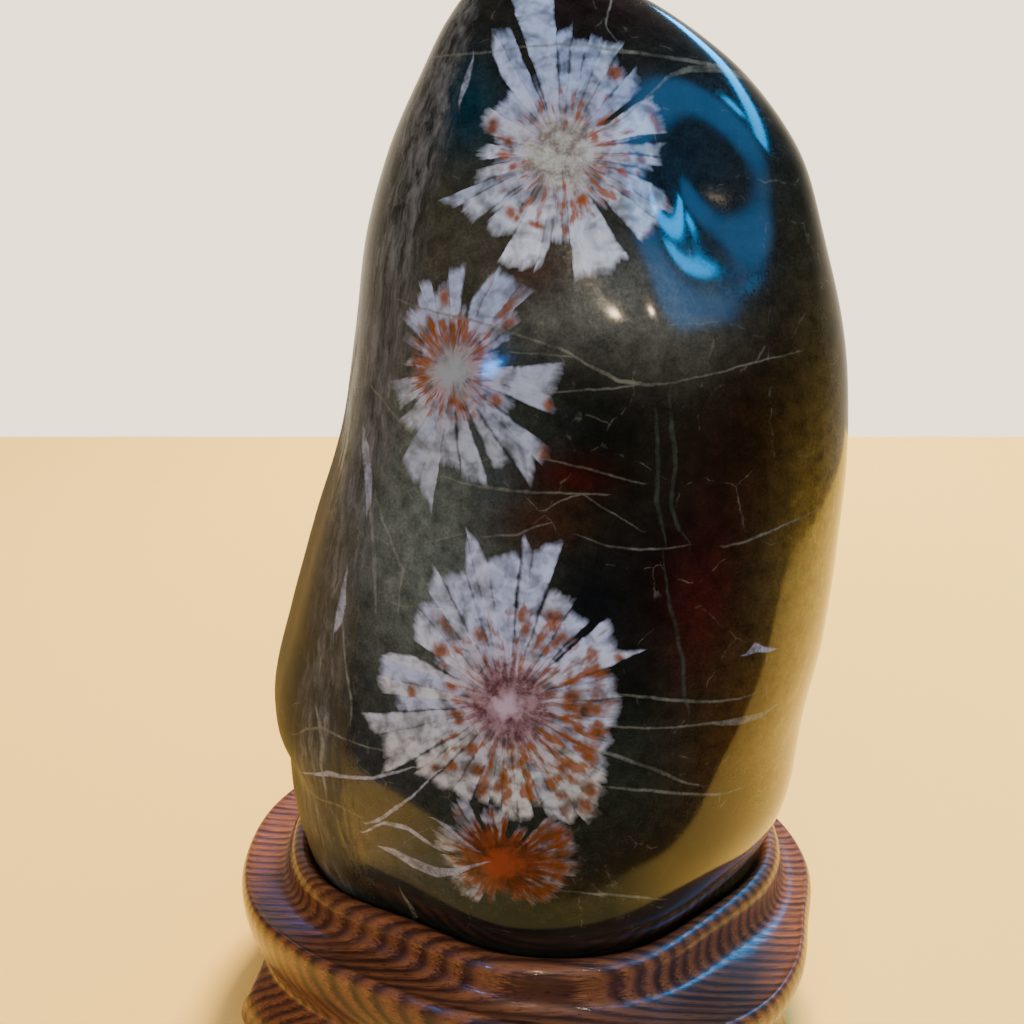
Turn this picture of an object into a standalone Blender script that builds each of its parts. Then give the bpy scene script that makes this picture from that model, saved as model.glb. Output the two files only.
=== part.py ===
"""Chrysanthemum stone resting in its carved wooden stand.

The stone is one polished pebble, set upright. The stand is one block of wood:
a rounded rim follows the foot of the stone, a flat ledge runs round the rim,
and a waist under the ledge flows into four low feet.

Frame: X to the right of the flowered face, Y away from it, Z up, origin in the
middle of the footprint on the surface that the stand rests on.
Lengths below are in millimetres; the meshes are made in metres.
"""

import math

import bmesh
import bpy
import numpy as np

MM = 0.001

# The stone's axis stands this far from the middle of the footprint.
AXIS_X = 0.15
AXIS_Y = 0.05

# The stone as rings from its underside to its crown. Each ring is level:
# height, left edge, right edge, front edge, back edge.
STONE_RINGS = (
    (27.0, 0.0, 0.0, 0.0, 0.0),
    (27.5, -26.0, 27.0, -20.0, 22.0),
    (31.0, -44.0, 47.0, -34.0, 36.0),
    (38.0, -54.5, 58.0, -42.5, 43.5),
    (50.0, -57.5, 60.0, -48.0, 47.5),
    (66.0, -59.5, 63.0, -50.0, 49.5),
    (84.0, -62.0, 64.0, -50.5, 50.0),
    (104.0, -57.0, 67.0, -49.0, 49.0),
    (126.0, -50.0, 68.3, -46.0, 46.5),
    (148.0, -42.3, 68.3, -42.5, 43.0),
    (170.0, -37.8, 65.3, -38.5, 38.5),
    (190.0, -34.2, 58.3, -33.0, 33.0),
    (206.0, -28.8, 51.0, -27.5, 27.0),
    (219.0, -22.4, 41.0, -21.5, 20.5),
    (229.0, -16.8, 28.0, -14.5, 13.5),
    (235.0, -11.0, 15.5, -7.5, 6.5),
    (237.0, 0.0, 0.0, -0.5, -0.5),
)
SECTION_POWER = 2.25
STONE_COLUMNS = 56
STONE_ROWS = 40

# Broad forms left in the skin by the polish: bearing from +X in degrees,
# height in mm, spread in degrees, spread in mm, rise (or fall) in mm.
STONE_FORMS = {
    "flat flowered face": (229.0, 85.0, 30.0, 60.0, -5.5),
    "full right front": (305.0, 100.0, 20.0, 40.0, 2.6),
    "foot drawn in at the right": (324.0, 36.0, 24.0, 20.0, -6.0),
    "foot drawn in at the left": (224.0, 38.0, 26.0, 18.0, -5.0),
    "groove between face and flank": (296.0, 132.0, 9.0, 30.0, -2.2),
    "bulge under the crown": (282.0, 172.0, 22.0, 16.0, 2.6),
    "hollow beside the top flower": (305.0, 197.0, 17.0, 13.0, -4.6),
    "ridge on the right shoulder": (338.0, 203.0, 16.0, 18.0, 2.4),
    "crease down the left flank": (190.0, 118.0, 9.0, 45.0, -1.6),
    "notch low on the left": (196.0, 70.0, 10.0, 5.0, -1.8),
    "dish in the middle flower": (255.0, 160.0, 10.0, 6.0, -0.9),
}

# Plan of the stand at the arris of its ledge, as (bearing, radius).
STAND_PLAN = (
    (0.0, 72.0), (14.0, 71.6), (32.0, 68.0), (52.0, 62.0), (72.0, 58.5), (90.0, 57.5),
    (110.0, 59.0), (130.0, 63.5), (147.0, 69.5), (162.0, 72.5), (176.0, 72.5),
    (188.0, 71.4), (200.0, 68.4), (213.0, 62.6), (227.0, 56.8), (242.0, 54.0),
    (260.0, 53.6), (276.0, 56.6), (292.0, 62.0), (307.0, 67.0), (319.0, 69.8),
    (330.0, 70.2), (345.0, 69.4),
)
STAND_COLUMNS = 90

# The seat is the foot of the stone, cut a little wider, with an open lip.
SEAT_GAP = 0.4
SEAT_LIP_GAP = 0.9
LIP_DROP = 2.0
SEAT_ROWS = 8

RIM_TOP = 41.5
RIM_WIDTH = 6.0
LEDGE_HEIGHT = 33.0
# The carver let the ledge run down a little towards one bearing.
LEDGE_FALL = 1.8
LEDGE_FALL_BEARING = 335.0
WAIST_HEIGHT = 14.5
WAIST_DEPTH = 3.0
UNDERSIDE_HEIGHT = 6.5

# Mouldings of the stand's side from under it up to the waist. Between the feet:
# inset past the waist's depth, height over the underside. On a foot: inset, height.
FOOT_PROFILE = (
    (4.0, 0.0, 2.2, 0.0), (1.8, 0.6, 0.6, 1.2), (0.8, 2.2, 0.0, 4.0),
    (0.3, 4.0, 0.8, 7.2), (0.0, 6.0, 3.2, 10.2),
)
# Inner side of a foot, up to its sole: inset past its depth between the feet, inset
# past its depth on the foot, height on the foot.
FOOT_INSIDE = ((3.0, 0.0, 1.0), (1.5, -1.0, 0.0))
UNDERSIDE_SHARE = 0.6
UNDERSIDE_EDGE = 9.0
# Hollow of the waist: how far it comes out, height over the waist's middle.
WAIST_PROFILE = ((0.0, -1.0), (0.3, 1.5), (1.8, 5.0), (3.1, 9.0))
# Rolled side and arris of the ledge: inset from the plan, height over the ledge.
LEDGE_PROFILE = ((-1.0, -5.0), (-0.75, -1.8), (0.4, 0.0), (1.6, -0.3))
# Rim's foot: distance past the rim's width, height over the ledge.
RIM_FOOT_PROFILE = ((2.2, -0.2), (0.7, 1.4), (0.1, 4.5))
# Rim's rounded top: distance past the seat's lip line, height under the rim's top.
RIM_TOP_PROFILE = ((6.0, 2.6), (4.9, 0.7), (3.0, 0.0), (1.8, 0.6))

# The feet: bearing, spread to each side in degrees, reach beyond the plan in mm.
FEET = ((38.0, 13.5, 2.0), (143.0, 13.5, 2.0), (206.0, 12.0, 5.5), (321.0, 12.5, 1.5))
FOOT_DEPTH = 15.0
FOOT_FULLNESS = 1.25


def smooth_curve(rows):
    """A smooth curve through rows, as a function of the fraction of its length."""
    points = np.array(rows, float)
    steps = np.linalg.norm(np.diff(points, axis=0), axis=1) ** 0.5
    knots = np.concatenate(([0.0], np.cumsum(steps)))
    slopes = np.diff(points, axis=0) / steps[:, None]
    inner = (slopes[:-1] * steps[1:, None] + slopes[1:] * steps[:-1, None]) / (
        steps[1:, None] + steps[:-1, None])
    tangents = np.vstack((slopes[:1], inner, slopes[-1:]))

    def at(fraction):
        place = fraction * knots[-1]
        i = int(min(max(np.searchsorted(knots, place) - 1, 0), len(steps) - 1))
        step = steps[i]
        t = (place - knots[i]) / step
        from_here = (1 + 2 * t) * (1 - t) ** 2 * points[i] + t * (1 - t) ** 2 * step * tangents[i]
        to_next = t * t * (3 - 2 * t) * points[i + 1] + t * t * (t - 1) * step * tangents[i + 1]
        return from_here + to_next

    return at


stone_ring = smooth_curve(STONE_RINGS)


def turn_between(a, b):
    """The smaller angle between two bearings, in degrees."""
    return (a - b + 180.0) % 360.0 - 180.0


def stone_point(fraction, bearing):
    """A point of the stone's skin: fraction runs from underside to crown."""
    height, left, right, front, back = stone_ring(fraction)
    half_x = max((right - left) / 2, 1e-6)
    half_y = max((back - front) / 2, 1e-6)
    angle = math.radians(bearing)
    across = (abs(math.cos(angle)) / half_x) ** SECTION_POWER
    along = (abs(math.sin(angle)) / half_y) ** SECTION_POWER
    radius = (across + along) ** (-1 / SECTION_POWER)
    fade = min(1.0, half_y / 20.0)
    for at, level, wide, tall, rise in STONE_FORMS.values():
        off = turn_between(bearing, at) / wide
        up = (height - level) / tall
        radius += rise * fade * math.exp(-off * off - up * up)
    x = (left + right) / 2 + radius * math.cos(angle)
    y = (front + back) / 2 + radius * math.sin(angle)
    return x, y, height


def fraction_at_height(height):
    """The fraction at which the stone's lower half reaches a height."""
    low, high = 0.0, 0.5
    for _ in range(30):
        middle = (low + high) / 2
        if stone_ring(middle)[0] < height:
            low = middle
        else:
            high = middle
    return low


def clear_of_stone(fraction, bearing, gap):
    """A point held a gap off the stone's skin, square to it."""
    step = 0.002
    here = stone_point(fraction, bearing)
    below = stone_point(fraction - step, bearing)
    above = stone_point(fraction + step, bearing)
    out_x = math.cos(math.radians(bearing))
    out_y = math.sin(math.radians(bearing))
    outward = (above[0] - below[0]) * out_x + (above[1] - below[1]) * out_y
    upward = above[2] - below[2]
    length = math.hypot(outward, upward)
    aside = gap * upward / length
    return here[0] + aside * out_x, here[1] + aside * out_y, here[2] - gap * outward / length


def plan_radius(bearing):
    """Radius of the stand's plan at a bearing, smooth all the way round."""
    bearings = [b for b, _ in STAND_PLAN]
    radii = [r for _, r in STAND_PLAN]
    count = len(radii)
    bearing %= 360.0
    i = max(k for k in range(count) if bearings[k] <= bearing)
    at = [bearings[(i + k) % count] + 360.0 * ((i + k) // count) for k in (-1, 0, 1, 2)]
    value = [radii[(i + k) % count] for k in (-1, 0, 1, 2)]
    span = at[2] - at[1]
    t = (bearing - at[1]) / span
    slope_in = (value[2] - value[0]) / (at[2] - at[0]) * span
    slope_out = (value[3] - value[1]) / (at[3] - at[1]) * span
    return ((1 + 2 * t) * (1 - t) ** 2 * value[1] + t * (1 - t) ** 2 * slope_in
            + t * t * (3 - 2 * t) * value[2] + t * t * (t - 1) * slope_out)


def foot_at(bearing):
    """The share of a foot that stands at a bearing, from 0 to 1, and its reach."""
    shares = []
    for at, spread, reach in FEET:
        share = FOOT_FULLNESS * math.exp(-(turn_between(bearing, at) / spread) ** 4)
        shares.append((min(share, 1.0), reach))
    return max(shares)


def stand_column(bearing):
    """One section of the stand, from under its middle round to its seat's middle."""
    angle = math.radians(bearing)
    plan = plan_radius(bearing)
    foot, reach = foot_at(bearing)
    ledge = LEDGE_HEIGHT - LEDGE_FALL * math.cos(math.radians(bearing - LEDGE_FALL_BEARING))

    def outside(inset, height):
        radius = plan - inset
        return radius * math.cos(angle), radius * math.sin(angle), height

    def lower(inset_plain, inset_foot, height_plain, height_foot):
        inset = inset_plain + (inset_foot - reach - inset_plain) * foot
        return outside(inset, height_plain + (height_foot - height_plain) * foot)

    floor = UNDERSIDE_HEIGHT
    rows = [outside(plan * UNDERSIDE_SHARE, floor), outside(FOOT_DEPTH + UNDERSIDE_EDGE, floor)]
    rows += [lower(FOOT_DEPTH + plain, FOOT_DEPTH + on_foot, floor, height)
             for plain, on_foot, height in FOOT_INSIDE]
    rows += [lower(WAIST_DEPTH + plain, on_foot, floor + rise, height)
             for plain, rise, on_foot, height in FOOT_PROFILE]
    rows += [outside(WAIST_DEPTH - out, WAIST_HEIGHT + rise) for out, rise in WAIST_PROFILE]
    rows += [outside(inset, ledge + rise) for inset, rise in LEDGE_PROFILE]

    lip = fraction_at_height(RIM_TOP - LIP_DROP)
    lip_x, lip_y, _ = stone_point(lip, bearing)

    def beside(distance, height):
        reach = math.hypot(lip_x, lip_y)
        scale = (reach + distance) / reach
        return lip_x * scale, lip_y * scale, height

    rows += [beside(RIM_WIDTH + past, ledge + rise) for past, rise in RIM_FOOT_PROFILE]
    rows += [beside(past, RIM_TOP - fall) for past, fall in RIM_TOP_PROFILE]
    rows.append(beside(SEAT_LIP_GAP, RIM_TOP - LIP_DROP))
    for step in range(1, SEAT_ROWS):
        fraction = lip * (1 - step / SEAT_ROWS)
        rows.append(clear_of_stone(fraction, bearing, SEAT_GAP))
    return rows


def closed_skin(name, columns, bottom, top):
    """A closed mesh from upright columns of points that meet in two poles."""
    mesh = bmesh.new()

    def corner(point):
        return mesh.verts.new(((point[0] + AXIS_X) * MM, (point[1] + AXIS_Y) * MM, point[2] * MM))

    grid = [[corner(point) for point in column] for column in columns]
    low = corner(bottom)
    high = corner(top)
    for here, beyond in zip(grid, grid[1:] + grid[:1]):
        mesh.faces.new((low, beyond[0], here[0]))
        for row in range(len(here) - 1):
            mesh.faces.new((here[row], beyond[row], beyond[row + 1], here[row + 1]))
        mesh.faces.new((high, here[-1], beyond[-1]))
    bmesh.ops.triangulate(mesh, faces=mesh.faces)
    bmesh.ops.recalc_face_normals(mesh, faces=mesh.faces)
    data = bpy.data.meshes.new(name)
    mesh.to_mesh(data)
    mesh.free()
    data.shade_smooth()
    piece = bpy.data.objects.new(name, data)
    bpy.context.scene.collection.objects.link(piece)
    return piece


def painted(name, colour, roughness):
    """A plain Principled material in one colour."""
    material = bpy.data.materials.new(name)
    material.use_nodes = True
    shader = material.node_tree.nodes["Principled BSDF"]
    shader.inputs["Base Color"].default_value = (*colour, 1.0)
    shader.inputs["Roughness"].default_value = roughness
    shader.inputs["Metallic"].default_value = 0.0
    return material


def make_stone():
    """The polished stone: level rings of skin between two poles."""
    bearings = [360.0 * k / STONE_COLUMNS for k in range(STONE_COLUMNS)]
    fractions = [row / (STONE_ROWS + 1) for row in range(1, STONE_ROWS + 1)]
    columns = [[stone_point(f, bearing) for f in fractions] for bearing in bearings]
    underside = (0.0, 0.0, STONE_RINGS[0][0])
    height, left, _, front, _ = STONE_RINGS[-1]
    stone = closed_skin("stone", columns, underside, (left, front, height))
    stone.data.materials.append(painted("polished stone", (0.036, 0.034, 0.028), 0.15))
    return stone


def make_stand():
    """The carved stand, with a seat that follows the foot of the stone."""
    bearings = [360.0 * k / STAND_COLUMNS for k in range(STAND_COLUMNS)]
    columns = [stand_column(bearing) for bearing in bearings]
    under_middle = (0.0, 0.0, UNDERSIDE_HEIGHT)
    seat_middle = (0.0, 0.0, STONE_RINGS[0][0] - SEAT_GAP)
    stand = closed_skin("stand", columns, under_middle, seat_middle)
    stand.data.materials.append(painted("lacquered wood", (0.19, 0.085, 0.035), 0.25))
    stand.data.set_sharp_from_angle(angle=math.radians(45.0))
    return stand


for old in list(bpy.data.objects):
    bpy.data.objects.remove(old, do_unlink=True)

make_stone()
make_stand()
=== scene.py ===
# %% [markdown]
# A polished chrysanthemum stone on its carved stand.
#
# The stone is dark slaty mudstone in which pale crystals grew outwards from a few
# points, like flowers. It was ground to a smooth upright pebble and polished, so the
# flowers lie flush in its skin. The stand is one block of wood, carved to take the
# foot of the stone and lacquered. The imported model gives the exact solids. Here they
# are dressed with finer skins of the same form and with materials.

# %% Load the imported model
import math
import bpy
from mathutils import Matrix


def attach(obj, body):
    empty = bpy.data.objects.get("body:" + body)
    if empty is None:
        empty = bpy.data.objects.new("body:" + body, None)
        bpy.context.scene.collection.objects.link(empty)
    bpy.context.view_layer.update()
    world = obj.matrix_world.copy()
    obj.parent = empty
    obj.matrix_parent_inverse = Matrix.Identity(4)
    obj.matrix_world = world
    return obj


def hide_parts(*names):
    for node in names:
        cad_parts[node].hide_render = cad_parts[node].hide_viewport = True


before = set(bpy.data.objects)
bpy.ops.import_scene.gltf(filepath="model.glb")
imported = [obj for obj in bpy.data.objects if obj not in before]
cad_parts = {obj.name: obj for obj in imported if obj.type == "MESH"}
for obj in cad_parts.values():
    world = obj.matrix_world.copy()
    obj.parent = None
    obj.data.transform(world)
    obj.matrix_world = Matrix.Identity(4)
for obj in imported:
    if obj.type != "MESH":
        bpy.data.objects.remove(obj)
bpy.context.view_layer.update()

from types import SimpleNamespace

import bpy
import numpy as np
from mathutils import Vector, noise

MM = 0.001

# %% [markdown]
# ## Small tools
#
# Colours are read from a colour card as sRGB hex values. Blender calculates in linear
# light, so one function turns them. A second one adds a node to a material: it makes
# the node, sets its settings, and fills or links its inputs by their number. A third
# one makes an empty material to add the nodes to.


# %% Helpers for materials
def linear(code, alpha=1.0):
    """Linear colour of an sRGB hex code such as c8bfb4."""
    parts = [int(code[k:k + 2], 16) / 255 for k in (0, 2, 4)]
    values = [c / 12.92 if c <= 0.04045 else ((c + 0.055) / 1.055) ** 2.4 for c in parts]
    return (*values, alpha)


def add_node(tree, kind, inputs=None, output=0, **settings):
    """Add a node, set its settings, fill or link its inputs, and return one output."""
    made = tree.nodes.new("ShaderNode" + kind)
    for name, value in settings.items():
        setattr(made, name, value)
    for key, value in (inputs or {}).items():
        if isinstance(value, bpy.types.NodeSocket):
            tree.links.new(value, made.inputs[key])
        else:
            made.inputs[key].default_value = value
    return None if output is None else made.outputs[output]


def new_material(name):
    """An empty material with its output node; returns the material and its tree."""
    material = bpy.data.materials.new(name)
    material.use_nodes = True
    material.node_tree.nodes.clear()
    return material, material.node_tree


print("pale petal in linear light:", [round(c, 3) for c in linear("d6d1d6")])

# %% [markdown]
# ## Camera
#
# The photograph looks down at the stone from close by, so the stand's near side falls
# out of the picture and the crown touches its upper edge. The horizon and the spacing
# of the floor's weave give the height and the tilt of the camera.

# %% Camera
CAMERA_PLACE = (-0.004, -0.222, 0.203)
CAMERA_TILT = 18.92
FOCAL_PIXELS = 1027.0
PICTURE_PIXELS = 1024.0

camera_data = bpy.data.cameras.new("camera")
camera_data.sensor_width = 36.0
camera_data.lens = camera_data.sensor_width * FOCAL_PIXELS / PICTURE_PIXELS
camera_data.clip_start = 0.01
camera = bpy.data.objects.new("camera", camera_data)
camera.location = CAMERA_PLACE
camera.rotation_euler = (math.radians(90.0 - CAMERA_TILT), 0.0, 0.0)
bpy.context.scene.collection.objects.link(camera)
bpy.context.scene.camera = camera
print("lens in mm:", round(camera_data.lens, 2))

# %% [markdown]
# ## The form of the stone
#
# A pebble that was ground by hand has no straight line in it. It could be sculpted,
# but then its seat would have to be sculpted to match. Here it is a stack of level
# rings: each ring gives the left, right, front and back edge of the stone at one
# height, and a smooth curve runs through them. Broad swellings and hollows are then
# pressed into that skin. The solid uses the same numbers, so the fine skin fits it.

# %% Rings and broad forms of the stone, in millimetres
AXIS_X = 0.15
AXIS_Y = 0.05
STONE_RINGS = (  # height, left edge, right edge, front edge, back edge
    (27.0, 0.0, 0.0, 0.0, 0.0),
    (27.5, -26.0, 27.0, -20.0, 22.0),
    (31.0, -44.0, 47.0, -34.0, 36.0),
    (38.0, -54.5, 58.0, -42.5, 43.5),
    (50.0, -57.5, 60.0, -48.0, 47.5),
    (66.0, -59.5, 63.0, -50.0, 49.5),
    (84.0, -62.0, 64.0, -50.5, 50.0),
    (104.0, -57.0, 67.0, -49.0, 49.0),
    (126.0, -50.0, 68.3, -46.0, 46.5),
    (148.0, -42.3, 68.3, -42.5, 43.0),
    (170.0, -37.8, 65.3, -38.5, 38.5),
    (190.0, -34.2, 58.3, -33.0, 33.0),
    (206.0, -28.8, 51.0, -27.5, 27.0),
    (219.0, -22.4, 41.0, -21.5, 20.5),
    (229.0, -16.8, 28.0, -14.5, 13.5),
    (235.0, -11.0, 15.5, -7.5, 6.5),
    (237.0, 0.0, 0.0, -0.5, -0.5),
)
SECTION_POWER = 2.25
STONE_FORMS = {  # bearing, height, spread in degrees, spread in mm, rise
    "flat flowered face": (229.0, 85.0, 30.0, 60.0, -5.5),
    "full right front": (305.0, 100.0, 20.0, 40.0, 2.6),
    "foot drawn in at the right": (324.0, 36.0, 24.0, 20.0, -6.0),
    "foot drawn in at the left": (224.0, 38.0, 26.0, 18.0, -5.0),
    "groove between face and flank": (296.0, 132.0, 9.0, 30.0, -2.2),
    "bulge under the crown": (282.0, 172.0, 22.0, 16.0, 2.6),
    "hollow beside the top flower": (305.0, 197.0, 17.0, 13.0, -4.6),
    "ridge on the right shoulder": (338.0, 203.0, 16.0, 18.0, 2.4),
    "crease down the left flank": (190.0, 118.0, 9.0, 45.0, -1.6),
    "notch low on the left": (196.0, 70.0, 10.0, 5.0, -1.8),
    "dish in the middle flower": (255.0, 160.0, 10.0, 6.0, -0.9),
}


def smooth_curve(rows):
    """A smooth curve through rows, as a function of the fraction of its length."""
    points = np.array(rows, float)
    steps = np.linalg.norm(np.diff(points, axis=0), axis=1) ** 0.5
    knots = np.concatenate(([0.0], np.cumsum(steps)))
    slopes = np.diff(points, axis=0) / steps[:, None]
    inner = (slopes[:-1] * steps[1:, None] + slopes[1:] * steps[:-1, None]) / (
        steps[1:, None] + steps[:-1, None])
    tangents = np.vstack((slopes[:1], inner, slopes[-1:]))

    def at(fraction):
        place = fraction * knots[-1]
        i = int(min(max(np.searchsorted(knots, place) - 1, 0), len(steps) - 1))
        step = steps[i]
        t = (place - knots[i]) / step
        from_here = (1 + 2 * t) * (1 - t) ** 2 * points[i] + t * (1 - t) ** 2 * step * tangents[i]
        to_next = t * t * (3 - 2 * t) * points[i + 1] + t * t * (t - 1) * step * tangents[i + 1]
        return from_here + to_next

    return at


stone_ring = smooth_curve(STONE_RINGS)


def turn_between(a, b):
    """The smaller angle between two bearings, in degrees."""
    return (a - b + 180.0) % 360.0 - 180.0


def stone_point(ring, bearing):
    """The point of the stone's skin on one ring at one bearing."""
    height, left, right, front, back = ring
    half_x = max((right - left) / 2, 1e-6)
    half_y = max((back - front) / 2, 1e-6)
    angle = math.radians(bearing)
    across = (abs(math.cos(angle)) / half_x) ** SECTION_POWER
    along = (abs(math.sin(angle)) / half_y) ** SECTION_POWER
    radius = (across + along) ** (-1 / SECTION_POWER)
    fade = min(1.0, half_y / 20.0)
    for at, level, wide, tall, rise in STONE_FORMS.values():
        off = turn_between(bearing, at) / wide
        up = (height - level) / tall
        radius += rise * fade * math.exp(-off * off - up * up)
    x = (left + right) / 2 + radius * math.cos(angle)
    y = (front + back) / 2 + radius * math.sin(angle)
    return x, y, height


print("ring at half the curve:", [round(float(v), 1) for v in stone_ring(0.5)])

# %% [markdown]
# ## A closed skin
#
# Both pieces are skins of upright columns of points that meet in a pole below and a
# pole above. A polished stone still has faint waves from the grinding wheel, which
# make its reflections swim, so each skin may be pressed in by a soft noise. It only
# goes inwards, so the skin stays inside its solid.


# %% Skin maker
def closed_skin(name, columns, bottom, top):
    """A closed smooth mesh from upright columns of points that meet in two poles."""
    grid = np.array(columns)
    count, rows, _ = grid.shape
    points = np.vstack((grid.reshape(-1, 3), [bottom, top]))
    points = (points + (AXIS_X, AXIS_Y, 0.0)) * MM
    low = count * rows
    faces = []
    for c in range(count):
        here = c * rows
        beyond = (c + 1) % count * rows
        faces.append((low, beyond, here))
        faces += [(here + r, beyond + r, beyond + r + 1, here + r + 1) for r in range(rows - 1)]
        faces.append((low + 1, here + rows - 1, beyond + rows - 1))
    data = bpy.data.meshes.new(name)
    data.from_pydata(points.tolist(), [], faces)
    data.validate()
    data.shade_smooth()
    piece = bpy.data.objects.new(name, data)
    bpy.context.scene.collection.objects.link(piece)
    print(name, "has", sum(len(face) - 2 for face in faces), "triangles")
    return piece


SKIN_INSET = 0.04


def pressed_in(point, wave, depth):
    """A point moved towards the upright axis by a soft noise of one wavelength."""
    x, y, z = point
    amount = SKIN_INSET + depth * (0.5 + 0.5 * noise.noise(Vector(point) / wave))
    reach = max(math.hypot(x, y), 1e-6)
    share = 1 - min(amount, reach) / reach
    return x * share, y * share, z


# %% The polished stone
STONE_COLUMNS = 300
STONE_ROWS = 310
GRINDING_WAVE = 11.0
GRINDING_DEPTH = 0.16


def make_stone():
    """The stone's fine skin, one ring of points for each row."""
    rings = [stone_ring(row / (STONE_ROWS + 1)) for row in range(1, STONE_ROWS + 1)]
    bearings = [360.0 * k / STONE_COLUMNS for k in range(STONE_COLUMNS)]
    columns = [[pressed_in(stone_point(ring, bearing), GRINDING_WAVE, GRINDING_DEPTH)
                for ring in rings] for bearing in bearings]
    height, left, _, front, _ = STONE_RINGS[-1]
    return closed_skin("polished_stone", columns, (0.0, 0.0, STONE_RINGS[0][0]), (left, front, height))


stone = make_stone()
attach(stone, "root")
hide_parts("stone")

# %% [markdown]
# ## The carved stand
#
# The carver followed the foot of the stone with a rounded rim, left a flat ledge round
# it, and rolled the side under into a waist and four low feet. A lathe could not make
# it, because its plan bulges at each foot. One upright section is drawn for every
# bearing instead, and the sections are joined into a skin.

# %% Sizes of the stand, in millimetres
STAND_PLAN = (  # bearing, radius at the arris of the ledge
    (0.0, 72.0), (14.0, 71.6), (32.0, 68.0), (52.0, 62.0), (72.0, 58.5), (90.0, 57.5),
    (110.0, 59.0), (130.0, 63.5), (147.0, 69.5), (162.0, 72.5), (176.0, 72.5),
    (188.0, 71.4), (200.0, 68.4), (213.0, 62.6), (227.0, 56.8), (242.0, 54.0),
    (260.0, 53.6), (276.0, 56.6), (292.0, 62.0), (307.0, 67.0), (319.0, 69.8),
    (330.0, 70.2), (345.0, 69.4),
)
SEAT_GAP = 0.4
SEAT_LIP_GAP = 0.9
LIP_DROP = 2.0
SEAT_ROWS = 8
RIM_TOP = 41.5
RIM_WIDTH = 6.0
LEDGE_HEIGHT = 33.0
LEDGE_FALL = 1.8
LEDGE_FALL_BEARING = 335.0
WAIST_HEIGHT = 14.5
WAIST_DEPTH = 3.0
UNDERSIDE_HEIGHT = 6.5
FEET = ((38.0, 13.5, 2.0), (143.0, 13.5, 2.0), (206.0, 12.0, 5.5), (321.0, 12.5, 1.5))
FOOT_DEPTH = 15.0
FOOT_FULLNESS = 1.25
# Mouldings up the side. Between the feet: inset past the waist's depth, height over the
# underside. On a foot: inset, height.
FOOT_PROFILE = (
    (4.0, 0.0, 2.2, 0.0), (1.8, 0.6, 0.6, 1.2), (0.8, 2.2, 0.0, 4.0),
    (0.3, 4.0, 0.8, 7.2), (0.0, 6.0, 3.2, 10.2),
)
# Inner side of a foot: inset past its depth between the feet and on the foot, height.
FOOT_INSIDE = ((3.0, 0.0, 1.0), (1.5, -1.0, 0.0))
UNDERSIDE_SHARE = 0.6
UNDERSIDE_EDGE = 9.0
# Hollow of the waist: how far it comes out, height over the waist's middle.
WAIST_PROFILE = ((0.0, -1.0), (0.3, 1.5), (1.8, 5.0), (3.1, 9.0))
# Rolled side and arris of the ledge: inset from the plan, height over the ledge.
LEDGE_PROFILE = ((-1.0, -5.0), (-0.75, -1.8), (0.4, 0.0), (1.6, -0.3))
# Foot of the rim: distance past the rim's width, height over the ledge.
RIM_FOOT_PROFILE = ((2.2, -0.2), (0.7, 1.4), (0.1, 4.5))
# Rounded top of the rim: distance past the seat's lip line, depth under the rim's top.
RIM_TOP_PROFILE = ((6.0, 2.6), (4.9, 0.7), (3.0, 0.0), (1.8, 0.6))


# %% Where the stand meets the stone
def fraction_at_height(height):
    """The fraction at which the stone's lower half reaches a height."""
    low, high = 0.0, 0.5
    for _ in range(30):
        middle = (low + high) / 2
        if stone_ring(middle)[0] < height:
            low = middle
        else:
            high = middle
    return low


def clear_of_stone(fraction, bearing, gap):
    """A point held a gap off the stone's skin, square to it."""
    step = 0.002
    here = stone_point(stone_ring(fraction), bearing)
    below = stone_point(stone_ring(fraction - step), bearing)
    above = stone_point(stone_ring(fraction + step), bearing)
    out_x = math.cos(math.radians(bearing))
    out_y = math.sin(math.radians(bearing))
    outward = (above[0] - below[0]) * out_x + (above[1] - below[1]) * out_y
    upward = above[2] - below[2]
    length = math.hypot(outward, upward)
    aside = gap * upward / length
    return here[0] + aside * out_x, here[1] + aside * out_y, here[2] - gap * outward / length


def plan_radius(bearing):
    """Radius of the stand's plan at a bearing, smooth all the way round."""
    bearings = [b for b, _ in STAND_PLAN]
    radii = [r for _, r in STAND_PLAN]
    count = len(radii)
    bearing %= 360.0
    i = max(k for k in range(count) if bearings[k] <= bearing)
    at = [bearings[(i + k) % count] + 360.0 * ((i + k) // count) for k in (-1, 0, 1, 2)]
    value = [radii[(i + k) % count] for k in (-1, 0, 1, 2)]
    span = at[2] - at[1]
    t = (bearing - at[1]) / span
    slope_in = (value[2] - value[0]) / (at[2] - at[0]) * span
    slope_out = (value[3] - value[1]) / (at[3] - at[1]) * span
    return ((1 + 2 * t) * (1 - t) ** 2 * value[1] + t * (1 - t) ** 2 * slope_in
            + t * t * (3 - 2 * t) * value[2] + t * t * (t - 1) * slope_out)


def foot_at(bearing):
    """The share of a foot that stands at a bearing, from 0 to 1, and its reach."""
    shares = []
    for at, spread, reach in FEET:
        share = FOOT_FULLNESS * math.exp(-(turn_between(bearing, at) / spread) ** 4)
        shares.append((min(share, 1.0), reach))
    return max(shares)


lip_fraction = fraction_at_height(RIM_TOP - LIP_DROP)
print("the seat's lip lies at", round(lip_fraction, 3), "of the stone's curve")


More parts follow.
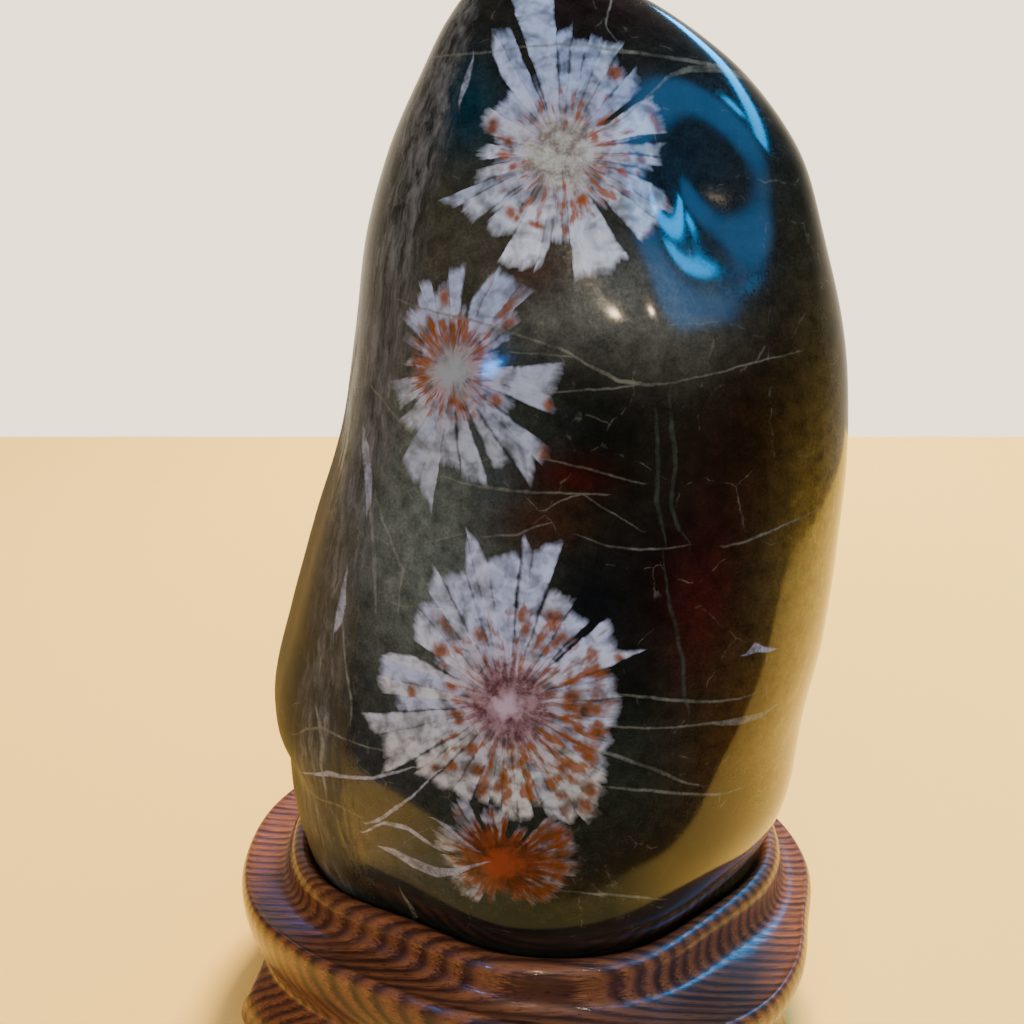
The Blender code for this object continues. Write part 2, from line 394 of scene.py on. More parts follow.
# %% One upright section of the stand
def stand_section(bearing):
    """Corner points of one section, from under the middle round to the seat."""
    angle = math.radians(bearing)
    plan = plan_radius(bearing)
    foot, reach = foot_at(bearing)
    ledge = LEDGE_HEIGHT - LEDGE_FALL * math.cos(math.radians(bearing - LEDGE_FALL_BEARING))

    def outside(inset, height):
        radius = plan - inset
        return radius * math.cos(angle), radius * math.sin(angle), height

    def lower(inset_plain, inset_foot, height_plain, height_foot):
        inset = inset_plain + (inset_foot - reach - inset_plain) * foot
        return outside(inset, height_plain + (height_foot - height_plain) * foot)

    floor = UNDERSIDE_HEIGHT
    underside = [outside(plan * UNDERSIDE_SHARE, floor), outside(FOOT_DEPTH + UNDERSIDE_EDGE, floor)]
    underside += [lower(FOOT_DEPTH + plain, FOOT_DEPTH + on_foot, floor, height)
                  for plain, on_foot, height in FOOT_INSIDE]
    side = [lower(WAIST_DEPTH + plain, on_foot, floor + rise, height)
            for plain, rise, on_foot, height in FOOT_PROFILE]
    side += [outside(WAIST_DEPTH - out, WAIST_HEIGHT + rise) for out, rise in WAIST_PROFILE]
    side += [outside(inset, ledge + rise) for inset, rise in LEDGE_PROFILE]
    lip_x, lip_y, _ = stone_point(stone_ring(lip_fraction), bearing)

    def beside(distance, height):
        lip_reach = math.hypot(lip_x, lip_y)
        scale = (lip_reach + distance) / lip_reach
        return lip_x * scale, lip_y * scale, height

    rim = [beside(RIM_WIDTH + past, ledge + rise) for past, rise in RIM_FOOT_PROFILE]
    rim += [beside(past, RIM_TOP - fall) for past, fall in RIM_TOP_PROFILE]
    rim.append(beside(SEAT_LIP_GAP, RIM_TOP - LIP_DROP))
    seat = [clear_of_stone(lip_fraction * (1 - step / SEAT_ROWS), bearing, SEAT_GAP)
            for step in range(1, SEAT_ROWS)]
    return underside, side + rim, seat


# %% The carved stand
STAND_COLUMNS = 420
SIDE_ROWS = 105
CARVING_WAVE = 14.0
CARVING_DEPTH = 0.22


def stand_column(bearing):
    """One section with its side and rim drawn as a smooth curve of many points."""
    underside, outline, seat = stand_section(bearing)
    curve = smooth_curve(outline)
    side = []
    for row in range(SIDE_ROWS):
        x, y, z = curve(row / (SIDE_ROWS - 1))
        side.append(pressed_in((x, y, max(z, 0.0)), CARVING_WAVE, CARVING_DEPTH))
    return underside + side + seat


def make_stand():
    """The stand's fine skin."""
    columns = [stand_column(360.0 * k / STAND_COLUMNS) for k in range(STAND_COLUMNS)]
    under_middle = (0.0, 0.0, UNDERSIDE_HEIGHT)
    seat_middle = (0.0, 0.0, STONE_RINGS[0][0] - SEAT_GAP)
    return closed_skin("carved_stand", columns, under_middle, seat_middle)


stand = make_stand()
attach(stand, "root")
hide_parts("stand")

# %% [markdown]
# ## The flowers
#
# Each flower is a fan of flat crystals that grew from one point. The saw and the
# polish cut across the fan, so each crystal shows as a blunt blade, wider at its end
# than at its root. They could be drawn as many small meshes let into the skin, but
# they are only colour, and a raised petal would catch the light. So each flower is
# worked out by the material from the place on the stone: the bearing about the
# flower's heart picks the petal, and the distance from the heart says where on it
# one is. Every row is one petal, read from the stone with a ruler.

# %% Petals of the four flowers
# Each petal: bearing where it starts, reach at its start and at its end in mm, the
# dark gap before it in mm, a rust stain from and to in mm, and how clean it is.
TOP_PETALS = (
    (3, 18.0, 18.6, 0.9, 0, 0, 0.75), (13, 13.5, 14.0, 1.6, 0, 0, 0.3),
    (16, 19.6, 19.8, 0.8, 17.6, 20, 0.9), (37, 10.0, 10.0, 0.6, 8, 10, 0.4),
    (40, 18.0, 21.5, 0.8, 0, 0, 0.85), (53, 18.6, 20.4, 0.6, 16.8, 20, 0.75),
    (64, 23.6, 22.4, 0.2, 0, 0, 0.55), (72, 22.0, 23.5, 0.15, 0, 0, 0.6),
    (79, 22.0, 22.6, 0.3, 0, 0, 0.8), (87, 24.8, 22.0, 0.4, 0, 0, 0.7),
    (94, 46.0, 48.0, 0.7, 0, 0, 0.95), (109, 14.0, 14.0, 0.8, 0, 0, 0.4),
    (112, 26.5, 29.0, 0.6, 0, 0, 0.9), (119, 28.6, 19.0, 0.15, 0, 0, 0.9),
    (128, 15.6, 15.0, 0.5, 0, 0, 0.6), (146, 16.4, 15.6, 0.4, 12.6, 16, 0.7),
    (164, 13.5, 12.0, 0.7, 9, 11.4, 0.7), (170, 14.6, 14.4, 0.4, 0, 0, 0.65),
    (182, 11.4, 11.6, 0.6, 0, 0, 0.4), (187, 15.2, 15.6, 0.6, 8.6, 11, 0.9),
    (197, 24.0, 21.0, 0.3, 0, 0, 0.42), (204, 19.4, 20.2, 0.3, 0, 0, 0.8),
    (217, 15.8, 15.8, 0.5, 0, 0, 0.5), (221, 18.4, 18.0, 0.3, 12.6, 15.2, 0.75),
    (233, 17.4, 16.2, 0.3, 12.4, 15.0, 0.7), (239, 22.2, 20.2, 0.3, 13, 14.4, 0.8),
    (258, 21.4, 16.6, 0.1, 0, 0, 0.8), (264, 16.0, 15.6, 0.4, 0, 0, 0.8),
    (272, 15.0, 15.6, 0.5, 13, 15.6, 0.5), (277, 23.2, 22.4, 0.4, 7.6, 9.8, 1.0),
    (305, 11.6, 11.4, 0.9, 0, 0, 0.4), (313, 21.4, 21.2, 0.9, 20, 22.0, 0.7),
    (328, 20.6, 20.0, 0.4, 12, 14.4, 0.7), (335, 21.9, 19.4, 0.1, 19.8, 22.0, 0.7),
    (346, 14.4, 15.0, 1.0, 12.8, 15, 0.55), (352, 15.6, 17.4, 0.8, 12.8, 15.2, 0.6),
)
MIDDLE_PETALS = (
    (9, 9.4, 9.0, 0.9, 0, 0, 0.5), (30, 13.0, 12.4, 0.8, 0, 0, 0.75),
    (38, 15.0, 16.4, 0.3, 11.6, 16.4, 0.55), (47, 20.6, 20.2, 0.2, 10.6, 20.6, 0.6),
    (54, 20.2, 20.4, 0.1, 0, 0, 1.0), (69, 19.6, 13.6, 0.2, 0, 0, 0.85),
    (78, 11.4, 11.2, 0.9, 6, 10.5, 0.4), (86, 19.4, 18.4, 0.7, 5, 9.6, 0.8),
    (97, 16.2, 15.0, 0.2, 11.4, 16.0, 0.5), (110, 17.2, 18.0, 0.4, 0, 0, 0.85),
    (119, 16.2, 13.8, 0.2, 7.6, 12.0, 0.5), (131, 14.6, 15.4, 0.3, 0, 0, 0.75),
    (144, 8.4, 8.4, 0.5, 0, 0, 0.3), (147, 12.2, 12.0, 0.4, 0, 0, 0.65),
    (158, 8.6, 8.8, 0.6, 0, 0, 0.4), (166, 9.0, 10.6, 0.3, 4, 6.4, 0.55),
    (180, 9.0, 8.6, 0.3, 5, 9, 0.4), (191, 14.2, 13.8, 0.3, 0, 0, 0.75),
    (217, 9.6, 9.6, 0.5, 0, 0, 0.4), (221, 15.2, 14.4, 0.5, 0, 0, 0.75),
    (240, 21.0, 23.4, 0.2, 0, 0, 0.8), (254, 22.6, 27.4, 0.1, 0, 0, 0.85),
    (264, 17.4, 18.2, 0.2, 4, 7, 0.8), (278, 19.6, 23.0, 0.9, 4.6, 8.8, 0.85),
    (293, 8.4, 8.6, 1.0, 6, 8.6, 0.4), (297, 19.4, 20.6, 1.2, 0, 0, 0.55),
    (309, 26.2, 22.4, 0.8, 0, 0, 0.75), (319, 24.4, 23.4, 0.1, 21.6, 26, 0.7),
    (327, 12.6, 12.0, 0.8, 8.0, 11.0, 0.5), (341, 20.2, 19.4, 0.9, 18.6, 21.4, 0.9),
    (349, 19.2, 20.4, 0.1, 0, 0, 1.0),
)
LARGE_PETALS = (
    (8, 21.6, 20.8, 0.5, 10, 14.6, 0.75), (21, 21.0, 20.4, 0.1, 18.4, 21.5, 0.7),
    (26, 28.4, 23.6, 0.7, 22.8, 25, 0.85), (32, 23.6, 26.0, 0.1, 0, 0, 0.95),
    (47, 18.6, 18.6, 1.1, 0, 0, 0.4), (50, 23.4, 23.0, 0.8, 14.6, 18.4, 0.75),
    (60.5, 24.8, 24.2, 0.4, 18.6, 22.4, 0.6), (74, 35.0, 31.0, 0.8, 13.0, 17.6, 0.75),
    (83, 30.6, 35.4, 0.1, 11.8, 15.0, 0.7), (87, 30.0, 28.4, 0.9, 0, 0, 0.9),
    (100, 28.6, 36.0, 0.1, 0, 0, 0.95), (106, 34.0, 26.4, 0.1, 0, 0, 0.7),
    (110.5, 26.8, 27.8, 0.4, 13.6, 18.0, 0.75), (121.5, 30.2, 27.0, 0.6, 0, 0, 0.8),
    (130, 25.0, 25.4, 0.2, 16, 24, 0.5), (139, 26.2, 21.8, 0.2, 14.6, 18.4, 0.8),
    (153, 16.6, 15.4, 0.5, 13.6, 16.4, 0.5), (160.5, 21.0, 28.0, 1.0, 0, 0, 0.95),
    (168, 27.2, 27.6, 0.1, 10.6, 14.0, 0.95), (177, 28.2, 26.8, 0.2, 19.2, 21.8, 0.85),
    (184.5, 24.2, 24.0, 0.3, 0, 0, 0.9), (193, 32.4, 29.8, 0.8, 9.2, 13.6, 0.75),
    (202, 29.6, 30.4, 0.1, 9.4, 12.4, 0.8), (212, 30.4, 34.4, 0.1, 0, 0, 0.6),
    (217, 24.0, 24.4, 0.9, 0, 0, 0.75), (222.5, 26.4, 24.0, 0.4, 21, 23.4, 0.6),
    (230, 24.4, 23.4, 0.7, 10, 13.6, 0.65), (241, 23.6, 23.8, 0.2, 14, 17, 0.7),
    (252, 20.6, 22.0, 0.7, 15.4, 23, 0.45), (261, 20.6, 21.4, 0.2, 17, 20, 0.55),
    (268, 23.6, 24.6, 0.7, 0, 0, 0.65), (276, 24.6, 24.2, 0.4, 12.2, 14.4, 0.7),
    (284, 21.6, 22.6, 1.0, 13.0, 16.6, 0.7), (289, 24.0, 27.4, 0.4, 0, 0, 0.7),
    (297, 27.6, 25.4, 0.2, 0, 0, 0.6), (303, 29.2, 28.6, 0.1, 23.6, 29.4, 0.45),
    (311, 27.0, 25.6, 0.1, 21.4, 27, 0.5), (320, 24.0, 23.6, 0.2, 0, 0, 0.65),
    (326, 23.4, 22.0, 0.1, 16.8, 21.4, 0.65), (334, 21.0, 20.6, 0.2, 0, 0, 0.7),
    (342, 20.6, 20.2, 0.2, 16.6, 19.6, 0.65), (351, 20.8, 20.4, 0.2, 10.0, 15.4, 0.7),
    (356, 20.6, 21.0, 0.4, 10.0, 20.4, 0.45),
)
LOW_PETALS = (
    (8, 15.2, 15.8, 0.2, 5.6, 17, 0.4), (25, 16.2, 16.8, 0.2, 7.2, 18.8, 0.6),
    (45, 16.8, 16.0, 0.1, 10.0, 17.6, 0.6), (53, 7.4, 7.4, 0.9, 0, 0, 0.3),
    (57, 10.8, 11.0, 0.6, 0, 0, 0.6), (71, 7.2, 7.2, 1.0, 0, 0, 0.3),
    (81, 13.2, 13.8, 0.7, 0, 0, 0.7), (96, 13.8, 13.2, 0.1, 0, 0, 0.72),
    (110, 7.6, 7.8, 0.9, 0, 0, 0.4), (114, 16.4, 15.6, 0.6, 0, 0, 0.75),
    (125, 15.8, 13.2, 0.2, 8.2, 10.6, 0.65), (137, 12.4, 12.8, 0.5, 0, 0, 0.4),
    (146, 13.4, 13.8, 0.3, 0, 0, 0.6), (160, 15.0, 14.6, 0.4, 0, 0, 0.8),
    (178, 9.6, 9.4, 0.6, 0, 0, 0.35), (182, 12.6, 11.6, 0.5, 0, 0, 0.85),
    (200, 12.0, 12.6, 0.2, 0, 0, 0.6), (214, 12.8, 13.0, 0.3, 8.4, 11.0, 0.5),
    (230, 13.2, 12.6, 0.2, 0, 0, 0.6), (247, 8.2, 9.4, 0.5, 0, 0, 0.4),
    (254, 10.2, 10.0, 0.2, 0, 0, 0.65), (263, 7.6, 8.0, 0.4, 0, 0, 0.3),
    (284, 9.6, 9.4, 0.3, 0, 0, 0.6), (301, 11.6, 13.4, 0.2, 7.0, 13.2, 0.35),
    (328, 12.4, 12.8, 0.2, 9.6, 13.4, 0.6), (342, 13.6, 12.4, 0.2, 0, 0, 0.45),
    (352, 15.0, 15.4, 0.3, 7.8, 16.8, 0.45),
)
FLOWERS = {  # heart on the stone, the way it faces, and the look of its parts
    "large": dict(heart=(-4.8, -46.7, 103.6), facing=(-0.226, -0.965, 0.135),
                  petals=LARGE_PETALS, levels=(72.0, 142.0), root=10.0, ragged=1.0,
                  crystal=("b6b6c6", "c2b6a6"), rust=("6a320a", "a05410"),
                  root_tint="a98078", heart_radius=8.0, core_radius=2.6,
                  heart_colours=("5a3334", "9c7674"), core_colour="c8a6a8",
                  flush=(5.0, 18.0, 0.42), flush_colours=("4a2410", "8a4e20"),
                  spots=(5.0, 22.0, 0.53), rusty_side=(0.006, 0.0, -0.003)),
    "low": dict(heart=(-6.4, -48.0, 67.9), facing=(-0.218, -0.974, -0.067),
                petals=LOW_PETALS, levels=(48.0, 88.0), root=7.0, ragged=1.3,
                crystal=("98949a", "a3937f"), rust=("5c2c08", "8c460c"),
                root_tint="8c6248", heart_radius=9.4, core_radius=3.6,
                heart_colours=("4e240c", "7a3812"), core_colour="93401e",
                flush=(6.0, 13.5, 0.36), flush_colours=("3a2008", "7a420e"),
                spots=(6.0, 16.0, 0.50), rusty_side=(0.009, 0.0, 0.001)),
    "middle": dict(heart=(-15.1, -33.2, 166.0), facing=(-0.413, -0.896, 0.163),
                   petals=MIDDLE_PETALS, levels=(136.0, 190.0), root=7.0, ragged=0.9,
                   crystal=("a8adbe", "aca9a8"), rust=("6a320c", "9e5416"),
                   root_tint="9c7068", heart_radius=4.2, core_radius=2.4,
                   heart_colours=("82817c", "a09e96"), core_colour="9a9a94",
                   flush=(4.0, 14.0, 0.39), flush_colours=("582812", "8e5228"),
                   spots=(3.0, 11.0, 0.50), rusty_side=(-0.006, 0.0, 0.006)),
    "top": dict(heart=(4.9, -28.0, 204.0), facing=(-0.074, -0.930, 0.361),
                petals=TOP_PETALS, levels=(180.0, 250.0), root=8.5, ragged=1.1,
                # The lower crystal colour is lighter as painted light, the upper darker as painted
                # shade.
                crystal=("a2aabe", "d0ccc8"), rust=("74340c", "ac5414"),
                root_tint="a98c88", heart_radius=6.4, core_radius=0.6,
                heart_colours=("82705f", "c8bea6"), core_colour="a89f8c",
                flush=(5.0, 14.0, 0.50), flush_colours=("683420", "966044"),
                spots=(3.6, 14.0, 0.53), rusty_side=(0.004, 0.0, -0.002)),
}
print("petals:", {name: len(flower["petals"]) for name, flower in FLOWERS.items()})

# %% [markdown]
# ### A table as a curve
#
# A shader has no lists. A curve node can hold one: its points lie at even steps, and
# the middle of step number k gives the value of petal number k. Three such values fit
# in one node with a curve for each colour channel.


# %% Curves that hold the petal table
def fill_curve(curve, points):
    """Give a curve straight runs through points that go from 0 to 1 across."""
    while len(curve.points) < len(points):
        curve.points.new(0.5, 0.5)
    for knob, place in zip(curve.points, points):
        knob.location = place
        knob.handle_type = "VECTOR"


def table_curves(tree, where, columns):
    """A curve node that turns a petal's place in the table into three of its values."""
    socket = add_node(tree, "RGBCurve", {1: where})
    mapping = socket.node.mapping
    for curve, values in zip(mapping.curves, columns):
        count = len(values)
        points = [(0.0, values[0])]
        points += [((k + 0.5) / count, value) for k, value in enumerate(values)]
        points.append((1.0, values[-1]))
        fill_curve(curve, points)
    mapping.update()
    return socket


REACH_SCALE = 50.0
GAP_SCALE = 4.0
WIDTH_SCALE = 60.0
SMALLEST_STAIN = 0.02
print("a reach of 25 mm is kept as", 25.0 / REACH_SCALE)

# %% [markdown]
# ### One flower
#
# The place on the stone is laid into the flower's own plane, as steps to the right and
# up. The angle of that step is the bearing, and its length is the distance from the
# heart. The crystals are cloudy and a little clear at their edges, so the dark stone
# shows through them there. Thin dark seams lie between them, iron has stained some of
# them, and round the heart it has crept outwards between the roots in fine spikes.


# %% The flower's own plane
def plane_axes(facing):
    """Unit steps to the right, up and out of the plane that faces one way."""
    out = Vector(facing).normalized()
    right = Vector((-out.y, out.x, 0.0)).normalized()
    return right, right.cross(out) * (-1 if right.cross(out).z < 0 else 1), out


print("up in the top flower's plane:", [round(v, 2) for v in plane_axes((-0.074, -0.93, 0.361))[1]])


# %% Where a place lies among the petals
def petal_place(tree, place, flower):
    """Sockets with the bearing, the distance, the petal's number and the depth of a place."""
    petals = flower["petals"]
    count = len(petals)
    start = petals[0][0]
    right, up, out = plane_axes(flower["facing"])
    step = add_node(tree, "VectorMath", {0: place, 1: flower["heart"]}, operation="SUBTRACT")
    x = add_node(tree, "VectorMath", {0: step, 1: right}, 1, operation="DOT_PRODUCT")
    y = add_node(tree, "VectorMath", {0: step, 1: up}, 1, operation="DOT_PRODUCT")
    depth = add_node(tree, "VectorMath", {0: step, 1: out}, 1, operation="DOT_PRODUCT")
    flat = add_node(tree, "CombineXYZ", {0: x, 1: y})
    far = add_node(tree, "VectorMath", {0: flat}, 1, operation="LENGTH")
    angle = add_node(tree, "Math", {0: y, 1: x}, operation="ARCTAN2")
    turn = add_node(tree, "Math", {0: angle, 1: 0.5 / math.pi, 2: -start / 360.0},
                    operation="MULTIPLY_ADD")
    turn = add_node(tree, "Math", {0: turn}, operation="FRACT")
    order = add_node(tree, "FloatCurve", {1: turn})
    knots = [((petal[0] - start) / 360.0, k / count) for k, petal in enumerate(petals)]
    fill_curve(order.node.mapping.curves[0], knots + [(1.0, 1.0)])
    order.node.mapping.update()
    order = add_node(tree, "Math", {0: order, 1: float(count)}, operation="MULTIPLY")
    return step, y, depth, far, turn, order


# %% What the table says about a petal
def petal_values(tree, number, flower):
    """Sockets with the reach, the seams and the rust patch of petal number so-and-so."""
    petals = flower["petals"]
    count = len(petals)
    ends = [petal[0] for petal in petals[1:]] + [petals[0][0] + 360.0]
    gaps = [petal[3] / GAP_SCALE for petal in petals]
    where = add_node(tree, "Math", {0: number, 1: 1.0 / count, 2: 0.5 / count},
                     operation="MULTIPLY_ADD")
    tables = (
        ([petal[1] / REACH_SCALE for petal in petals],
         [petal[2] / REACH_SCALE for petal in petals],
         [petal[6] for petal in petals]),
        (gaps,
         gaps[1:] + gaps[:1],
         [(end - petal[0]) / WIDTH_SCALE for petal, end in zip(petals, ends)]),
        ([(petal[4] + petal[5]) / 2 / REACH_SCALE for petal in petals],
         [max((petal[5] - petal[4]) / 2, SMALLEST_STAIN) / REACH_SCALE for petal in petals],
         [0.35 + 0.3 * (k % 2) for k in range(count)]))
    return [add_node(tree, "SeparateXYZ", {0: table_curves(tree, where, table)}).node.outputs
            for table in tables]


# %% Rays of the flower
SPIKES = (50.0, 0.10)
FIBRES = (150.0, 0.45)
IRON_SPOTS = (46.0, 0.24)


def rays(tree, polar, fineness, roughness):
    """A noise that is fine across the rays from the heart and long along them."""
    drawn_out = add_node(tree, "VectorMath", {0: polar, 1: (*fineness, 1.0)}, operation="MULTIPLY")
    return add_node(tree, "TexNoise", {"Vector": drawn_out, "Scale": 1.0, "Detail": 2.0,
                                       "Roughness": roughness}, noise_dimensions="2D")


def read_place(tree, place, cloud, grain, flower):
    """Every socket that the layers of one flower share, by name."""
    step, height, depth, far, turn, order = petal_place(tree, place, flower)
    number = add_node(tree, "Math", {0: order}, operation="FLOOR")
    reach, seam, stain = petal_values(tree, number, flower)
    polar = add_node(tree, "CombineXYZ", {0: turn, 1: far})
    return SimpleNamespace(
        step=step, height=height, depth=depth, far=far, number=number, polar=polar,
        reach=reach, seam=seam, stain=stain, cloud=cloud, grain=grain,
        across=add_node(tree, "Math", {0: order}, operation="FRACT"),
        spike=rays(tree, polar, SPIKES, 0.6), fibre=rays(tree, polar, FIBRES, 0.6),
        blotch=add_node(tree, "TexNoise", {"Vector": step, "Scale": 0.32, "Detail": 2.0,
                                           "Roughness": 0.55, "Distortion": 0.3}),
        random=add_node(tree, "TexWhiteNoise", {1: number}, noise_dimensions="1D"))


print("spikes are about", round(360 / SPIKES[0]), "degrees wide, fibres", round(360 / FIBRES[0], 1))

# %% [markdown]
# Each petal ends in a ragged tip, where the crystals' own ends stand out as spikes and
# fibres. At its sides it is bounded by seams, which are hair lines near the root and
# open out further off.

# %% Tip and seams of a petal
SEAM_LINE = -0.22
SEAM_WANDER = 0.26


def petal_tip(tree, at, ragged):
    """How surely a place lies inside its petal's ragged tip, 0 to 1."""
    tip = add_node(tree, "MapRange", {0: at.across, 3: at.reach[0], 4: at.reach[1]})
    tip = add_node(tree, "Math", {0: tip, 1: REACH_SCALE, 2: -2.0 * ragged},
                   operation="MULTIPLY_ADD")
    tip = add_node(tree, "Math", {0: at.spike, 1: 3.2 * ragged, 2: tip}, operation="MULTIPLY_ADD")
    tip = add_node(tree, "Math", {0: at.fibre, 1: 0.8 * ragged, 2: tip}, operation="MULTIPLY_ADD")
    to_tip = add_node(tree, "Math", {0: tip, 1: at.far}, operation="SUBTRACT")
    return add_node(tree, "MapRange", {0: to_tip, 1: -0.5, 2: 1.3})


def petal_seams(tree, at, root):
    """How surely a place lies between its petal's two seams, 0 to 1."""
    arc = add_node(tree, "Math", {0: at.seam[2], 1: at.far}, operation="MULTIPLY")
    arc = add_node(tree, "Math", {0: arc, 1: math.radians(WIDTH_SCALE)}, operation="MULTIPLY")
    rest = add_node(tree, "Math", {0: 1.0, 1: at.across}, operation="SUBTRACT")
    opening = add_node(tree, "MapRange", {0: at.far, 1: root - 2.0, 2: root + 5.0, 3: 0.0,
                                          4: 0.5 * GAP_SCALE})
    line = add_node(tree, "MapRange", {0: at.blotch, 1: 0.3, 2: 0.7, 3: SEAM_LINE + SEAM_WANDER,
                                       4: SEAM_LINE - SEAM_WANDER})
    sides = []
    for share, gap in ((at.across, at.seam[0]), (rest, at.seam[1])):
        half = add_node(tree, "Math", {0: gap, 1: opening, 2: line}, operation="MULTIPLY_ADD")
        away = add_node(tree, "Math", {0: share, 1: arc}, operation="MULTIPLY")
        sides.append(add_node(tree, "Math", {0: away, 1: half}, operation="SUBTRACT"))
    to_seam = add_node(tree, "Math", {0: sides[0], 1: sides[1]}, operation="MINIMUM")
    return add_node(tree, "MapRange", {0: to_seam, 1: -0.28, 2: 0.32})


# %% [markdown]
# The crystal is calcite: cool white in some petals and creamy in others, warmer low in
# the flower, pink at the roots, and cloudy. In the top flower the lower petals are also
# made lighter and the upper ones darker, as painted light and shade. Where it is
# clear, the dark ground shows through. Rust has soaked into single petals in soft patches.

# %% Crystal of a petal
def rust_patch(tree, at):
    """The soft patch of rust at its own place along and across the petal, 0 to 1."""
    along = add_node(tree, "Math", {0: at.far, 1: 1.0 / REACH_SCALE}, operation="MULTIPLY")
    along = add_node(tree, "Math", {0: along, 1: at.stain[0]}, operation="SUBTRACT")
    along = add_node(tree, "Math", {0: along, 1: at.stain[1]}, operation="DIVIDE")
    beside = add_node(tree, "Math", {0: at.across, 1: at.stain[2]}, operation="SUBTRACT")
    beside = add_node(tree, "Math", {0: beside, 1: 1.7}, operation="MULTIPLY")
    spot = add_node(tree, "CombineXYZ", {0: along, 1: beside})
    spot = add_node(tree, "VectorMath", {0: spot}, 1, operation="LENGTH")
    spot = add_node(tree, "Math", {0: at.cloud, 1: 1.6, 2: spot}, operation="MULTIPLY_ADD")
    return add_node(tree, "MapRange", {0: spot, 1: 2.0, 2: 1.1, 3: 0.0, 4: 0.9})


def crystal_nodes(tree, at, rust_colour, ground, flower):
    """The petal's crystal over the ground, with its patch of rust."""
    root = flower["root"]
    # Lower in the flower the crystal turns warmer; in the top flower it is also painted lighter, which
    # is painted light.
    warm_and_lit = add_node(tree, "MapRange", {0: at.height, 1: 14.0, 2: -16.0, 3: -0.35, 4: 0.65})
    warm_and_lit = add_node(tree, "Math", {0: at.random, 1: 0.7, 2: warm_and_lit}, operation="MULTIPLY_ADD",
                    use_clamp=True)
    white = add_node(tree, "Mix", {0: warm_and_lit, 6: linear(flower["crystal"][0]),
                                   7: linear(flower["crystal"][1])}, 2, data_type="RGBA")
    tinted = add_node(tree, "MapRange", {0: at.far, 1: root + 5.0, 2: root - 4.0, 3: 0.0, 4: 0.7})
    white = add_node(tree, "Mix", {0: tinted, 6: white, 7: linear(flower["root_tint"])}, 2,
                     data_type="RGBA")
    shade = add_node(tree, "Math", {0: at.fibre, 1: 0.45, 2: at.blotch}, operation="MULTIPLY_ADD")
    shade = add_node(tree, "Math", {0: at.random, 1: 0.22, 2: shade}, operation="MULTIPLY_ADD")
    shade = add_node(tree, "MapRange", {0: shade, 1: 0.55, 2: 1.15, 3: 0.74, 4: 1.24})
    white = add_node(tree, "VectorMath", {0: white, 3: shade}, operation="SCALE")
    body = add_node(tree, "MapRange", {0: at.blotch, 1: 0.32, 2: 0.6, 3: 0.0, 4: 0.6})
    body = add_node(tree, "Math", {0: at.reach[2], 1: 0.55, 2: body}, operation="MULTIPLY_ADD",
                    use_clamp=True)
    white = add_node(tree, "Mix", {0: rust_patch(tree, at), 6: white, 7: rust_colour}, 2,
                     data_type="RGBA")
    return add_node(tree, "Mix", {0: body, 6: ground, 7: white}, 2, data_type="RGBA")


# %% [markdown]
# Iron crept outwards from the heart between the crystals. It shows as dark red-brown
# seams near the roots, as spikes, and as spots that are longer than wide. The water
# that brought it came from one side, so each flower has its rusty side.

# %% Iron and heart
SEAM_STAIN = "1c0b0a"


def iron_nodes(tree, at, rust_colour, colour, flower):
    """Spikes and spots of iron over the petals."""
    lean = add_node(tree, "VectorMath", {0: at.step, 1: flower["rusty_side"]}, 1,
                    operation="DOT_PRODUCT")
    first, last, cover = flower["flush"]
    fading = add_node(tree, "MapRange", {0: at.far, 1: first, 2: last, 3: cover, 4: cover + 0.34})
    fading = add_node(tree, "Math", {0: fading, 1: lean}, operation="SUBTRACT")
    flush = add_node(tree, "Math", {0: at.spike, 1: fading}, operation="SUBTRACT")
    flush = add_node(tree, "MapRange", {0: flush, 1: 0.0, 2: 0.2, 3: 0.0, 4: 0.85})
    rusty = add_node(tree, "MapRange", {0: at.cloud, 1: 0.38, 2: 0.62})
    flush_colour = add_node(tree, "Mix", {0: rusty, 6: linear(flower["flush_colours"][0]),
                                          7: linear(flower["flush_colours"][1])}, 2,
                            data_type="RGBA")
    colour = add_node(tree, "Mix", {0: flush, 6: colour, 7: flush_colour}, 2, data_type="RGBA")
    near, far, cover = flower["spots"]
    off = add_node(tree, "Math", {0: at.far, 1: (near + far) / 2}, operation="SUBTRACT")
    off = add_node(tree, "Math", {0: off}, operation="ABSOLUTE")
    off = add_node(tree, "MapRange", {0: off, 1: (far - near) * 0.3, 2: (far - near) * 0.6,
                                      3: cover, 4: cover + 0.3})
    off = add_node(tree, "Math", {0: off, 1: lean}, operation="SUBTRACT")
    blot = rays(tree, at.polar, IRON_SPOTS, 0.5)
    blot = add_node(tree, "Math", {0: blot, 1: off}, operation="SUBTRACT")
    blot = add_node(tree, "MapRange", {0: blot, 1: -0.02, 2: 0.16, 3: 0.0, 4: 0.85})
    return add_node(tree, "Mix", {0: blot, 6: colour, 7: rust_colour}, 2, data_type="RGBA")


